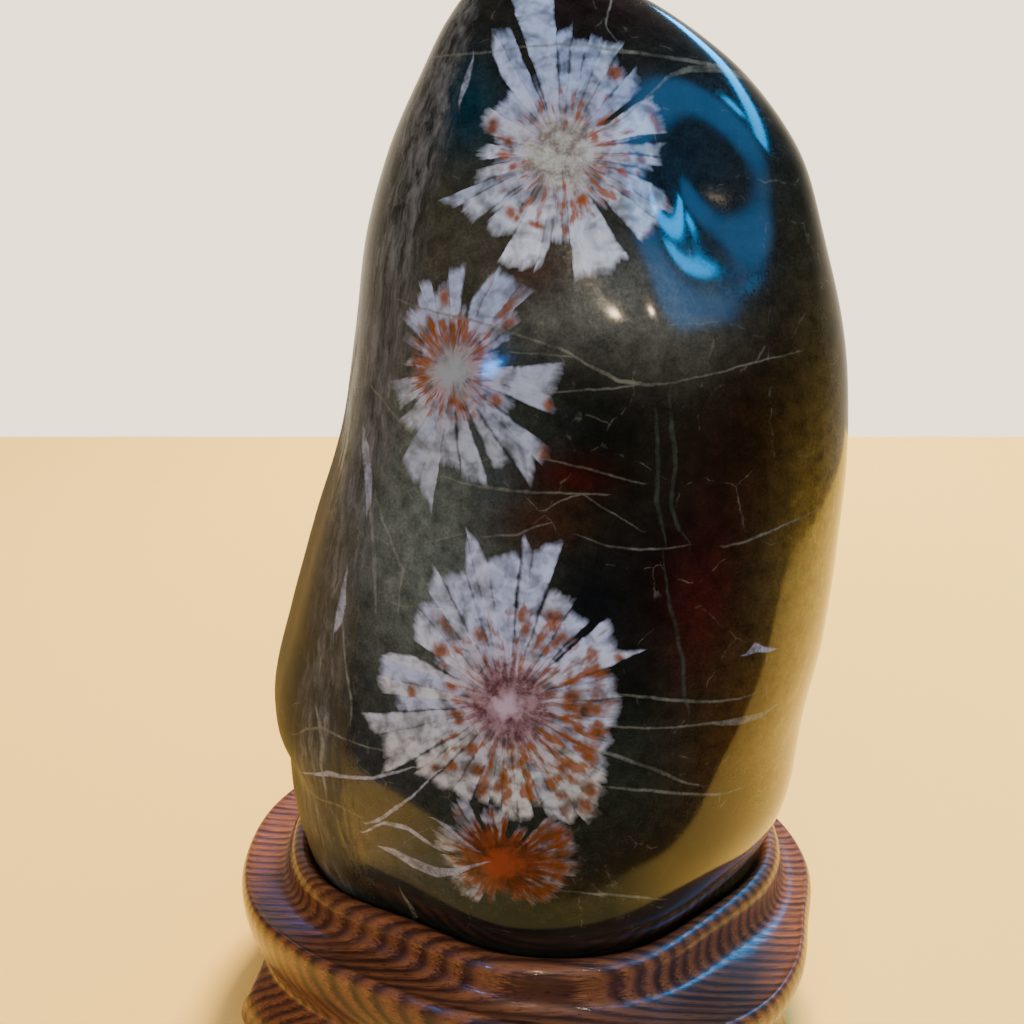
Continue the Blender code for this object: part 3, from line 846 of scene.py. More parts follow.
def heart_nodes(tree, at, colour, flower):
    """The speckled heart with its star-like edge, and the brighter core in it."""
    radius = flower["heart_radius"]
    star = add_node(tree, "Math", {0: at.spike, 1: -11.0, 2: at.far}, operation="MULTIPLY_ADD")
    heart = add_node(tree, "MapRange", {0: star, 1: radius - 4.4, 2: radius - 7.2, 3: 0.0, 4: 0.92})
    speck = add_node(tree, "Math", {0: at.grain, 1: 0.5, 2: at.blotch}, operation="MULTIPLY_ADD")
    speck = add_node(tree, "MapRange", {0: speck, 1: 0.6, 2: 0.92})
    heart_colour = add_node(tree, "Mix", {0: speck, 6: linear(flower["heart_colours"][0]),
                                          7: linear(flower["heart_colours"][1])}, 2,
                            data_type="RGBA")
    colour = add_node(tree, "Mix", {0: heart, 6: colour, 7: heart_colour}, 2, data_type="RGBA")
    core = add_node(tree, "Math", {0: at.blotch, 1: -4.0, 2: at.far}, operation="MULTIPLY_ADD")
    core = add_node(tree, "MapRange", {0: core, 1: flower["core_radius"] - 1.2,
                                       2: flower["core_radius"] - 3.4, 3: 0.0, 4: 0.85})
    return add_node(tree, "Mix", {0: core, 6: colour, 7: linear(flower["core_colour"])}, 2,
                    data_type="RGBA")


# %% [markdown]
# The layers lie over each other as they grew: dark seams and crystal first, then the
# iron, then the heart. The flower shows on the front of the stone only.

# %% One whole flower
def flower_nodes(tree, place, cloud, grain, ground, flower):
    """Paint one flower over the ground; place is in mm, cloud and grain are noises."""
    at = read_place(tree, place, cloud, grain, flower)
    root = flower["root"]
    near_root = add_node(tree, "MapRange", {0: at.far, 1: root + 7.0, 2: root + 1.0, 3: 0.25,
                                            4: 0.9})
    between = add_node(tree, "Mix", {0: near_root, 6: ground, 7: linear(SEAM_STAIN)}, 2,
                       data_type="RGBA")
    rust_colour = add_node(tree, "Mix", {0: at.fibre, 6: linear(flower["rust"][0]),
                                         7: linear(flower["rust"][1])}, 2, data_type="RGBA")
    crystal = crystal_nodes(tree, at, rust_colour, ground, flower)
    colour = add_node(tree, "Mix", {0: petal_seams(tree, at, root), 6: between, 7: crystal}, 2,
                      data_type="RGBA")
    colour = iron_nodes(tree, at, rust_colour, colour, flower)
    colour = heart_nodes(tree, at, colour, flower)
    front = add_node(tree, "MapRange", {0: at.depth, 1: -26.0, 2: -22.0})
    shown = add_node(tree, "Math", {0: petal_tip(tree, at, flower["ragged"]), 1: front},
                     operation="MULTIPLY")
    return add_node(tree, "Mix", {0: shown, 6: ground, 7: colour}, 2, data_type="RGBA")


# %% [markdown]
# ### Ground colour of the stone
#
# The mudstone is not one colour: it runs from near black beside the flowers through
# olive and grey on the left to maroon and red-brown on the right, where iron has
# gone into it. The golden brown down the right edge is partly its own colour and partly
# a painted warm reflection of the floor. Gradients in the material could say that, but
# each patch would need several nodes. A colour kept at the points of the fine skin
# costs nothing to render, and the soft patches are only a few centimetres wide, so the
# points are fine enough.

# %% Patches of ground colour
# Each patch: x, height, half width, half height in mm, colour, strength.
GROUND_COLOUR = "24241b"
FRONT_PATCHES = (
    (-48, 150, 24, 70, "47433c", 0.9), (-50, 100, 18, 30, "191610", 0.9),
    (-22, 132, 15, 30, "606356", 0.85), (-30, 172, 12, 16, "5b5546", 0.7),
    (-12, 188, 14, 14, "443e2e", 0.8), (12, 179, 15, 9, "6c6858", 0.9),
    (28, 172, 12, 8, "6b6450", 0.75), (-40, 72, 16, 20, "2a2c2c", 0.85),
    (-13, 213, 7, 9, "04303b", 0.95), (29, 203, 12, 15, "0a2430", 0.95),
    (12, 231, 17, 8, "1c080f", 0.95), (0, 184, 7, 5, "3c2318", 0.8),
    (13, 152, 10, 18, "060c09", 0.95), (20, 108, 7, 9, "040a09", 0.95),
    (12, 124, 8, 12, "070b10", 0.95), (7, 148, 8, 4, "330804", 0.95),
    (2, 139, 10, 5, "351c0c", 0.85), (42, 155, 20, 30, "1c0e04", 0.95),
    (24, 128, 9, 14, "080604", 0.95), (34, 128, 9, 22, "260806", 0.9),
    (31, 121, 5, 11, "3c0a0c", 0.7), (20, 88, 9, 12, "20261d", 0.85),
    (43, 92, 14, 24, "402404", 0.9), (30, 66, 22, 15, "241604", 0.9),
    # The golden patch at x 62 is partly the stone's own brown and partly a painted warm reflection of
    # the floor.
    (62, 104, 12, 50, "a87c24", 0.9), (8, 58, 14, 7, "3c2c0c", 0.6),
    # The near-black and dark brown patches low on the front, at heights 48 and 46, are painted shade
    # where the foot curves under into the seat.
    (-8, 48, 24, 4, "060709", 0.95), (26, 46, 18, 6, "1c0a04", 0.8),
    (-27, 62, 12, 7, "3e3d3a", 0.6),
)
BACK_PATCHES = (
    (20, 190, 26, 26, "322f22", 0.8), (-20, 140, 26, 40, "3a3526", 0.8),
    (30, 120, 24, 36, "261408", 0.8), (0, 80, 30, 24, "10140f", 0.9),
    (-30, 60, 20, 20, "2f2412", 0.7), (10, 215, 20, 14, "1a0a0e", 0.8),
    # The golden patch at x 60 carries the painted warm floor reflection round the right edge, over the
    # stone's own brown.
    (60, 100, 15, 56, "80601f", 0.85), (-52, 110, 14, 60, "3b372f", 0.8),
)
SIDE_BLEND = 56.0
# The slaty band down the left edge: height, x of its middle, half width.
BAND = ((38, -44, 5), (70, -50, 5), (110, -42, 6), (140, -35, 6), (170, -30, 6),
        (200, -23, 5.5), (220, -18, 5), (237, -13, 4))
BAND_FADE = ((110.0, 175.0), (0.62, 1.0))
BAND_END = ((0.0, 24.0), (1.0, 0.2))


def lay_patches(colours, x, z, side, patches):
    """Blend soft-edged patches of colour over the points, in place."""
    for at_x, at_z, wide, tall, code, strength in patches:
        share = strength * side * np.exp(-((x - at_x) / wide) ** 2 - ((z - at_z) / tall) ** 2)
        colours[:, :3] += share[:, None] * (np.array(linear(code)[:3]) - colours[:, :3])


def colour_ground(piece):
    """Write the ground colour, with the share of slaty band in its fourth value."""
    count = len(piece.data.vertices)
    places = np.empty(count * 3)
    piece.data.vertices.foreach_get("co", places)
    x, y, z = places.reshape(-1, 3).T / MM
    front = np.clip(0.5 - y / SIDE_BLEND, 0.0, 1.0)
    colours = np.tile(np.array(linear(GROUND_COLOUR)), (count, 1))
    lay_patches(colours, x, z, front, FRONT_PATCHES)
    lay_patches(colours, x, z, 1.0 - front, BACK_PATCHES)
    heights, middles, widths = np.array(BAND, float).T
    off = (x - np.interp(z, heights, middles)) / np.interp(z, heights, widths)
    colours[:, 3] = np.exp(-off * off) * np.interp(z, *BAND_FADE) * np.interp(y, *BAND_END)
    layer = piece.data.color_attributes.new("ground", "FLOAT_COLOR", "POINT")
    layer.data.foreach_set("color", colours.ravel())
    print("ground colour on", count, "points")


colour_ground(stone)

# %% [markdown]
# ### Veins
#
# Cracks in the mudstone healed with pale calcite, so thin lines wander over the face
# and across the flowers. A texture of random cells would give veins, but not these
# ones. Each is written as a few points on the face, and curve nodes carry its height
# and its width from left to right. A curve node has three channels, so three veins
# share one. The upright veins are written from bottom to top instead.

# %% Veins and loose blades, in millimetres on the face
# Points of each vein: x, height, width. It fades out at both ends.
CALCITE_VEINS = (
    ((-19, 221.5, 0.4), (-8, 221.6, 0.5), (0, 222.6, 0.4), (8, 222.8, 0.9), (16, 221.6, 0.8),
     (27, 220.4, 0.7), (36, 219.0, 1.7), (42, 217.0, 0.8)),
    ((12, 208, 0.3), (16, 210, 0.5), (20, 213.4, 0.6), (24, 217, 0.9), (28, 218.6, 1.4),
     (34, 218.9, 1.6), (38, 218.6, 1.0)),
    ((-26, 178, 0.3), (-17, 176, 0.6), (-10, 175, 0.7), (-5, 173.5, 0.6), (0, 172.5, 0.6),
     (5, 171, 0.7), (10, 168, 0.8), (15, 165.8, 0.9), (20, 165, 0.8), (25, 165.4, 0.4),
     (44, 168.4, 0.35), (50, 169, 0.2)),
    ((2, 163.0, 0.3), (10, 163.8, 0.5), (18, 165.0, 0.3)),
    ((-4, 170.0, 0.2), (4, 169.9, 0.35), (7, 169.5, 0.2)),
    ((-32, 161, 0.4), (-30, 159.4, 0.8), (-27, 156.4, 1.0), (-23, 153.4, 0.8), (-20, 151, 0.3)),
    ((-17, 146.4, 0.3), (-14, 145.6, 0.5), (-9, 145, 0.8), (0, 144.8, 0.6), (13, 145.1, 0.3)),
    ((2, 151.2, 0.2), (10, 149.6, 0.55), (20, 146.8, 0.3)),
    ((2, 141.6, 0.2), (4, 142.8, 0.35), (7, 144.4, 0.35), (9, 145.0, 0.2)),
    ((9, 145.0, 0.2), (12, 143.0, 0.4), (15, 141.4, 0.4), (20, 138.0, 0.2)),
    ((-9, 135.6, 0.2), (-7, 136.2, 0.5), (-3, 136.9, 0.6), (1, 138.8, 0.4), (3, 139.4, 0.1)),
    ((-26, 132, 0.2), (-22, 132.6, 0.35), (-18, 134, 0.5), (-14, 135.6, 0.3), (-12, 136, 0.1)),
    ((8, 137.5, 0.2), (13, 135.6, 0.45), (19, 134.8, 0.5), (29, 134.6, 0.2)),
    ((36, 134, 0.3), (43, 135.6, 0.7), (48, 137, 0.5), (58, 138, 0.2)),
    ((14, 107.2, 0.4), (22, 106, 0.7), (30, 104.6, 0.8), (38, 104, 0.6), (44, 104, 0.2)),
    ((14, 100.4, 0.3), (18, 100.1, 0.5), (25, 99.7, 0.4), (35, 99.6, 0.7), (41, 98.8, 2.2),
     (46, 98.4, 1.6), (50, 99, 0.3)),
    ((12, 95, 0.5), (15, 94.6, 0.9), (20, 92.6, 1.0), (25, 90.2, 1.0), (30, 87.4, 0.8),
     (34, 85.4, 0.3)),
    ((10, 88.4, 0.3), (13, 87.6, 0.7), (20, 86.8, 0.8), (24, 86.1, 1.0), (31, 84.4, 0.8),
     (39, 82.2, 0.9), (44, 81.6, 0.3)),
    ((-52, 84, 0.4), (-48, 87.6, 0.8), (-44, 89.6, 1.0), (-39, 88.8, 0.6), (-30, 88.6, 0.3)),
    ((6, 62.2, 0.3), (15, 61.2, 0.9), (20, 60.2, 1.0), (25, 58.6, 0.8), (28, 57, 0.3)),
    ((-28, 120, 0.3), (-25, 119.8, 0.5), (-21, 120.4, 0.5), (-18, 121, 0.2)),
    ((-50, 70, 0.3), (-46, 70.2, 0.7), (-42, 71.4, 0.9), (-38, 70.8, 0.5), (-36, 70.4, 0.2)),
    ((-5, 91.6, 0.2), (0, 90.6, 0.5), (4, 90, 0.4), (8, 88.6, 0.2)),
    ((-16, 103, 0.2), (-12, 99, 0.6), (-8, 92.6, 0.6), (-5, 89, 0.3)),
)
WHITE_BLADES = (
    ((-50, 75, 0.5), (-47, 77, 1.1), (-43, 79.2, 1.7), (-38, 80.2, 1.1), (-33, 81.8, 1.0),
     (-27, 85, 0.8), (-24, 87, 0.3)),
    ((-35, 69, 0.5), (-32, 71.4, 1.5), (-28, 76, 1.5), (-24, 80.4, 1.0), (-20, 86, 0.7),
     (-18, 88, 0.2)),
    ((-32, 64, 0.8), (-29, 63.8, 2.4), (-25, 62.4, 3.6), (-20, 61.8, 3.6), (-15, 64, 2.2),
     (-11, 66.6, 0.9), (-9, 68, 0.3)),
    ((-36, 66, 0.4), (-31, 71.0, 1.2), (-26, 71.6, 1.8), (-22, 69.6, 1.4), (-18, 68, 0.4)),
    ((-20, 76, 0.4), (-17, 74.6, 1.6), (-14, 72, 1.4), (-11, 70, 0.3)),
    ((41, 112.6, 0.6), (43, 113.8, 2.6), (45.5, 112.6, 1.4), (48, 112, 0.3)),
)
UPRIGHT_BLADES = (  # height, x, width
    ((136.5, -33, 0.3), (139, -32.6, 1.5), (144, -32.8, 2.5), (149, -33.4, 1.9), (152, -33.8, 0.3)),
    ((110, -41, 0.4), (113, -39.8, 1.9), (117, -38.8, 2.1), (121, -38.2, 1.1), (124, -37.6, 0.3)),
    ((213, -13.6, 0.5), (216, -12.6, 1.9), (219, -11.6, 0.9), (221, -11, 0.2)),
)
PALE_UPRIGHTS = (
    ((118, -31.4, 0.3), (126, -31.4, 1.2), (131, -31.6, 0.9), (137, -32.2, 1.0), (139, -32.6, 0.3)),
    ((119, -26.6, 0.3), (127, -25.4, 0.7), (131, -27.2, 0.7), (136, -29.6, 0.6), (140, -31, 0.2)),
    ((70, -44.6, 0.3), (74, -44.2, 0.9), (80, -44.8, 1.0), (86, -44.2, 1.3), (91, -45, 0.9),
     (94, -45.6, 0.3)),
    ((38, -27, 0.4), (42, -25.6, 1.7), (46, -26.4, 1.9), (50, -27.8, 0.9), (53, -28.4, 0.2)),
    ((92, -37.5, 0.2), (97, -37, 0.6), (104, -38, 0.7), (114, -39, 0.3)),
    ((222, 16, 0.2), (226, 13, 0.4), (230, 14, 0.5), (234, 15, 0.3)),
)
OLIVE_UPRIGHTS = (
    ((136, 24.6, 0.3), (139, 23.8, 0.8), (144, 22.4, 1.1), (150, 22.6, 1.0), (156, 22.2, 0.9),
     (161, 21.6, 0.3)),
    ((135, 29.5, 0.3), (138, 27.2, 1.1), (143, 25.2, 1.1), (150, 26, 1.1), (157, 25, 1.0),
     (163, 24.2, 0.7), (168, 24, 0.2)),
    ((102, 30, 0.3), (106, 29, 1.0), (111, 28.8, 1.0), (118, 27.4, 1.0), (124, 25.6, 0.8),
     (134, 24, 0.2)),
)
ACROSS_RANGE = (-80.0, 160.0)
UP_RANGE = (0.0, 250.0)
VEIN_WIDTH_SCALE = 4.0
VEIN_CORE = 0.38
VEIN_SOFTNESS = 0.26
FADE_OUT = 0.012
VEIN_MARGIN = 3.0


def vein_nodes(tree, run, level, run_range, level_range, veins):
    """How deep a place lies in any of some veins, 0 to 1; run and level are from 0 to 1."""
    run_start, run_span = run_range
    level_start, level_span = level_range
    deepest = None
    for first in range(0, len(veins), 3):
        trio = veins[first:first + 3]
        trio += trio[:1] * (3 - len(trio))
        heights = add_node(tree, "RGBCurve", {1: run})
        widths = add_node(tree, "RGBCurve", {1: run})
        for height_curve, width_curve, vein in zip(heights.node.mapping.curves,
                                                   widths.node.mapping.curves, trio):
            runs = [(at - run_start) / run_span for at, _, _ in vein]
            levels = [(up - level_start) / level_span for _, up, _ in vein]
            wides = [(wide * VEIN_CORE + VEIN_SOFTNESS) / VEIN_WIDTH_SCALE for _, _, wide in vein]
            fill_curve(height_curve, [(0.0, levels[0]), *zip(runs, levels), (1.0, levels[-1])])
            fill_curve(width_curve, [(0.0, 0.0), (runs[0] - FADE_OUT, 0.0), *zip(runs, wides),
                                     (runs[-1] + FADE_OUT, 0.0), (1.0, 0.0)])
        heights.node.mapping.update()
        widths.node.mapping.update()
        off = add_node(tree, "VectorMath", {0: heights, 1: level}, operation="SUBTRACT")
        off = add_node(tree, "VectorMath", {0: off}, operation="ABSOLUTE")
        depth = add_node(tree, "VectorMath", {0: widths, 3: VEIN_WIDTH_SCALE}, operation="SCALE")
        depth = add_node(tree, "VectorMath", {0: off, 1: (-level_span,) * 3, 2: depth},
                         operation="MULTIPLY_ADD")
        deepest = depth if deepest is None else add_node(
            tree, "VectorMath", {0: deepest, 1: depth}, operation="MAXIMUM")
    parts = add_node(tree, "SeparateXYZ", {0: deepest}).node
    inside = add_node(tree, "Math", {0: parts.outputs[0], 1: parts.outputs[1]}, operation="MAXIMUM")
    inside = add_node(tree, "Math", {0: inside, 1: parts.outputs[2]}, operation="MAXIMUM")
    return add_node(tree, "MapRange", {0: inside, 1: VEIN_SOFTNESS * 0.4, 2: VEIN_SOFTNESS * 1.6})


print("veins and blades:", len(CALCITE_VEINS + WHITE_BLADES + UPRIGHT_BLADES
                              + PALE_UPRIGHTS + OLIVE_UPRIGHTS))

# %% [markdown]
# ### The polished stone
#
# Polished by wheel and waxed, the stone takes a wet gloss. The wax bends light by about
# 1.45. The ground is mottled at 3 mm and speckled at about half a millimetre, the
# band on the left is slaty, with fibres that run up the stone. Slate takes less polish,
# so that flank is satin. Hair-fine cracks about 16 mm apart cross the rest.


# %% Ground of the stone
MOTTLE_PER_MM = 0.3
SPECKLE_PER_MM = 1.7
SLATE_COLOURS = ("2b2722", "7a766e")
SLATE_FIBRES = (0.55, 0.55, 0.05)
CRACKS_PER_MM = 0.06
CRACK_COLOUR = "8d8468"


def stone_places(tree):
    """Sockets that every layer of the stone shares: the place in mm, bent and plain."""
    coords = add_node(tree, "TexCoord", output=3)
    place = add_node(tree, "VectorMath", {0: coords, 3: 1 / MM}, operation="SCALE")
    parts = add_node(tree, "SeparateXYZ", {0: place}).node.outputs
    warp = add_node(tree, "TexNoise", {"Vector": place, "Scale": 0.2, "Detail": 3.0,
                                       "Roughness": 0.6}, 1)
    warp = add_node(tree, "VectorMath", {0: warp, 1: (0.5,) * 3}, operation="SUBTRACT")
    wobble, gentle = [add_node(tree, "VectorMath", {0: warp, 1: (strength,) * 3, 2: place},
                               operation="MULTIPLY_ADD") for strength in (2.6, 1.1)]
    fibre_place = add_node(tree, "VectorMath", {0: wobble, 1: SLATE_FIBRES}, operation="MULTIPLY")
    return SimpleNamespace(
        across=parts[0], depth=parts[1], wobble=wobble, gentle=gentle,
        cloud=add_node(tree, "TexNoise", {"Vector": place, "Scale": MOTTLE_PER_MM, "Detail": 4.0,
                                          "Roughness": 0.62}),
        grain=add_node(tree, "TexNoise", {"Vector": place, "Scale": SPECKLE_PER_MM, "Detail": 2.0,
                                          "Roughness": 0.7}),
        slate=add_node(tree, "TexNoise", {"Vector": fibre_place, "Scale": 1.0, "Detail": 4.0,
                                          "Roughness": 0.68}))


def stone_ground(tree, at):
    """Patches of colour, mottled and speckled, with the slaty band and the hair cracks."""
    patch = add_node(tree, "Attribute", attribute_name="ground").node.outputs
    mottle = add_node(tree, "MapRange", {0: at.cloud, 1: 0.3, 2: 0.75, 3: 0.55, 4: 1.5})
    ground = add_node(tree, "VectorMath", {0: patch[0], 3: mottle}, operation="SCALE")
    speckle = add_node(tree, "MapRange", {0: at.grain, 1: 0.3, 2: 0.7, 3: 0.75, 4: 1.3})
    ground = add_node(tree, "VectorMath", {0: ground, 3: speckle}, operation="SCALE")
    share = add_node(tree, "MapRange", {0: at.slate, 1: 0.36, 2: 0.72})
    colour = add_node(tree, "Mix", {0: share, 6: linear(SLATE_COLOURS[0]),
                                    7: linear(SLATE_COLOURS[1])}, 2, data_type="RGBA")
    band = add_node(tree, "Math", {0: patch[3], 1: at.slate}, operation="MULTIPLY")
    band = add_node(tree, "MapRange", {0: band, 1: 0.12, 2: 0.42, 3: 0.0, 4: 0.9})
    ground = add_node(tree, "Mix", {0: band, 6: ground, 7: colour}, 2, data_type="RGBA")
    crack = add_node(tree, "TexVoronoi", {"Vector": at.wobble, "Scale": CRACKS_PER_MM},
                     feature="DISTANCE_TO_EDGE")
    crack = add_node(tree, "MapRange", {0: crack, 1: 0.010, 2: 0.002})
    patchy = add_node(tree, "MapRange", {0: at.cloud, 1: 0.5, 2: 0.68, 3: 0.0, 4: 0.3})
    crack = add_node(tree, "Math", {0: crack, 1: patchy}, operation="MULTIPLY")
    return add_node(tree, "Mix", {0: crack, 6: ground, 7: linear(CRACK_COLOUR)}, 2,
                    data_type="RGBA")


print("mottled at", round(1 / MOTTLE_PER_MM), "mm, speckled at", round(1 / SPECKLE_PER_MM, 1),
      "mm, cracks", round(1 / CRACKS_PER_MM), "mm apart")

# %% [markdown]
# The veins and blades lie over the ground and the flowers. They break up with the
# grain of the stone, and the back has none.

# %% Veins over the ground
# Where a knot holds its height: second in a level vein, first in an upright one.
LEVEL, UPRIGHT = 1, 0
VEIN_KINDS = (
    (LEVEL, CALCITE_VEINS, "4c4738", "8c846e"),
    (LEVEL, WHITE_BLADES, "8b8283", "c4bcc0"),
    (UPRIGHT, UPRIGHT_BLADES, "85858a", "bcbac2"),
    (UPRIGHT, PALE_UPRIGHTS, "625f50", "8f8b7b"),
    (UPRIGHT, OLIVE_UPRIGHTS, "1c2018", "4c4f3e"),
)


def lay_veins(tree, at, ground, low, high):
    """Lay the veins and blades that reach one level band over the ground."""
    bent = add_node(tree, "SeparateXYZ", {0: at.gentle}).node.outputs
    across, up = [add_node(tree, "Math", {0: bent[k], 1: 1 / span, 2: -start / span},
                           operation="MULTIPLY_ADD")
                  for k, (start, span) in ((0, ACROSS_RANGE), (2, UP_RANGE))]
    all_up, all_across = [add_node(tree, "CombineXYZ", {0: way, 1: way, 2: way})
                          for way in (up, across)]
    ways = {LEVEL: (across, all_up, ACROSS_RANGE, UP_RANGE),
            UPRIGHT: (up, all_across, UP_RANGE, ACROSS_RANGE)}
    front = add_node(tree, "MapRange", {0: at.depth, 1: -4.0, 2: -9.0})
    broken = add_node(tree, "Math", {0: at.grain, 1: 0.4, 2: at.cloud}, operation="MULTIPLY_ADD")
    broken = add_node(tree, "MapRange", {0: broken, 1: 0.55, 2: 0.85, 3: 0.25, 4: 0.85})
    broken = add_node(tree, "Math", {0: broken, 1: front}, operation="MULTIPLY")
    for run, all_veins, thin, thick in VEIN_KINDS:
        veins = [vein for vein in all_veins
                 if min(knot[run] for knot in vein) - VEIN_MARGIN < high
                 and max(knot[run] for knot in vein) + VEIN_MARGIN > low]
        if veins:
            mask = vein_nodes(tree, *ways[run], veins)
            mask = add_node(tree, "Math", {0: mask, 1: broken}, operation="MULTIPLY")
            tint = add_node(tree, "Mix", {0: at.cloud, 6: linear(thin), 7: linear(thick)}, 2,
                            data_type="RGBA")
            ground = add_node(tree, "Mix", {0: mask, 6: ground, 7: tint}, 2, data_type="RGBA")
    return ground


# %% Material of the stone
WAX_IOR = 1.45
GLOSS_RANGE = (0.08, 0.17)
SATIN_EDGE = (-25.0, -32.0)
SATIN_MORE = 0.5


def polished_stone(name, low, high):
    """Dark mudstone under a wheel polish, with the flowers and veins of one level band."""
    material, tree = new_material("wheel-polished mudstone, " + name)
    at = stone_places(tree)
    ground = stone_ground(tree, at)
    for flower in FLOWERS.values():
        if flower["levels"][0] < high and flower["levels"][1] > low:
            ground = flower_nodes(tree, at.gentle, at.cloud, at.grain, ground, flower)
    ground = lay_veins(tree, at, ground, low, high)
    # the satin's edge follows the fibres of the slate
    gloss = add_node(tree, "MapRange", {0: at.grain, 1: 0.3, 2: 0.8, 3: GLOSS_RANGE[0],
                                        4: GLOSS_RANGE[1]})
    flank = add_node(tree, "Math", {0: at.slate, 1: 20.0, 2: at.across}, operation="MULTIPLY_ADD")
    satin = add_node(tree, "MapRange", {0: flank, 1: SATIN_EDGE[0], 2: SATIN_EDGE[1], 3: 0.0,
                                        4: SATIN_MORE})
    gloss = add_node(tree, "Math", {0: gloss, 1: satin}, operation="ADD")
    shader = add_node(tree, "BsdfPrincipled", {"Base Color": ground, "Roughness": gloss,
                                               "IOR": WAX_IOR})
    add_node(tree, "OutputMaterial", {0: shader}, None)
    print(material.name, "has", len(tree.nodes), "nodes")
    return material


# %% [markdown]
# ### One material for each level band
#
# A single material would work out all the flowers and veins at every place on the
# stone, and most of that work is thrown away. The flowered side is cut into level
# bands instead, and each band's material holds only the flowers and veins that reach
# it. The patterns come from the place, so they run on over the bands without a seam.

# %% Dress the stone in bands
BACK_BEGINS = 6.0


def dress_in_bands(piece):
    """Give each face of the stone the material of its level band, or of the back."""
    cuts = sorted({0.0, *(level for flower in FLOWERS.values() for level in flower["levels"])})
    for low, high in zip(cuts, cuts[1:]):
        piece.data.materials.append(polished_stone(f"{low:.0f} to {high:.0f} mm", low, high))
    piece.data.materials.append(polished_stone("back", 0.0, 0.0))
    for face in piece.data.polygons:
        _, y, z = face.center / MM
        band = max(k for k, cut in enumerate(cuts) if cut <= z)
        face.material_index = len(cuts) - 1 if y > BACK_BEGINS else band


dress_in_bands(stone)

# %% [markdown]
# ### Lacquered wood
#
# The stand's wood is striped right through: dark and light sheets about 2.3 mm apart,
# which a cut shows as straight lines on one side and as long waves on another. So the
# stripes are worked out in depth, not painted on the skin. The gloss is a clear
# lacquer over the wood, so it has a coat of its own.

# %% Material of the stand
SHEET_PITCH = 2.3
SHEET_WAY = (0.05, 1.0, -0.10)
# How far the sheets wander in long bends, and how far each fibre strays, in mm.
SHEET_BEND = 7.0
FIBRE_STRAY = 1.7
# Grain runs along the block: a pattern is drawn out by the share in x over that in y and z.
BEND_STRETCH = (0.35, 1.0, 1.0)
FIBRE_STRETCH = (0.10, 1.9, 1.9)
PORE_STRETCH = (0.35, 3.2, 3.2)
LIGHT_SHEETS = ("5e341e", "96562a")
DARK_SHEETS = ("28130c", "4c2717")
PORE_COLOUR = "180c08"
# The lacquer is a clear coat that was rubbed to a slightly soft gloss.
LACQUER = {"Coat Weight": 0.8, "Coat Roughness": 0.12, "Coat IOR": 1.45}


def lacquered_wood():
    """Dark and light sheets of wood under a clear gloss lacquer."""
    material, tree = new_material("gloss-lacquered striped hardwood")
    coords = add_node(tree, "TexCoord", output=3)
    place = add_node(tree, "VectorMath", {0: coords, 3: 1 / MM}, operation="SCALE")
    long = add_node(tree, "VectorMath", {0: place, 1: BEND_STRETCH}, operation="MULTIPLY")
    bend = add_node(tree, "TexNoise", {"Vector": long, "Scale": 0.03, "Detail": 1.0,
                                       "Roughness": 0.5})
    sheet = add_node(tree, "VectorMath", {0: place, 1: SHEET_WAY}, 1, operation="DOT_PRODUCT")
    sheet = add_node(tree, "Math", {0: bend, 1: SHEET_BEND, 2: sheet}, operation="MULTIPLY_ADD")
    fibre_place = add_node(tree, "VectorMath", {0: place, 1: FIBRE_STRETCH}, operation="MULTIPLY")
    fibre = add_node(tree, "TexNoise", {"Vector": fibre_place, "Scale": 1.0, "Detail": 3.0,
                                        "Roughness": 0.65})
    sheet = add_node(tree, "Math", {0: fibre, 1: FIBRE_STRAY, 2: sheet}, operation="MULTIPLY_ADD")
    wave = add_node(tree, "Math", {0: sheet, 1: 2 * math.pi / SHEET_PITCH}, operation="MULTIPLY")
    wave = add_node(tree, "Math", {0: wave}, operation="SINE")
    uneven = add_node(tree, "TexNoise", {"W": sheet, "Scale": 0.33, "Detail": 1.0},
                      noise_dimensions="1D")
    wave = add_node(tree, "Math", {0: uneven, 1: 2.4, 2: wave}, operation="MULTIPLY_ADD")
    dark = add_node(tree, "MapRange", {0: wave, 1: 0.4, 2: 2.3})
    streak = add_node(tree, "MapRange", {0: fibre, 1: 0.3, 2: 0.7})
    light_wood, dark_wood = [
        add_node(tree, "Mix", {0: streak, 6: linear(colours[0]), 7: linear(colours[1])}, 2,
                 data_type="RGBA") for colours in (LIGHT_SHEETS, DARK_SHEETS)]
    wood = add_node(tree, "Mix", {0: dark, 6: light_wood, 7: dark_wood}, 2, data_type="RGBA")
    pore_place = add_node(tree, "VectorMath", {0: place, 1: PORE_STRETCH}, operation="MULTIPLY")
    pore = add_node(tree, "TexNoise", {"Vector": pore_place, "Scale": 1.0, "Detail": 1.0})
    pore = add_node(tree, "MapRange", {0: pore, 1: 0.64, 2: 0.72, 3: 0.0, 4: 0.8})
    wood = add_node(tree, "Mix", {0: pore, 6: wood, 7: linear(PORE_COLOUR)}, 2, data_type="RGBA")

    # the soft pale sheets were sanded a little deeper than the hard dark ones
    ripple = add_node(tree, "Math", {0: fibre, 1: 0.35, 2: dark}, operation="MULTIPLY_ADD")
    bump = add_node(tree, "Bump", {"Strength": 0.22, "Distance": 0.00025, "Height": ripple})
    shader = add_node(tree, "BsdfPrincipled", {
        "Base Color": wood, "Roughness": 0.5, "IOR": 1.5, "Normal": bump, "Coat Normal": bump,
        **LACQUER})
    add_node(tree, "OutputMaterial", {0: shader}, None)
    return material


stand.data.materials.append(lacquered_wood())
print("wood sheets lie", SHEET_PITCH, "mm apart and wander by", SHEET_BEND, "mm")

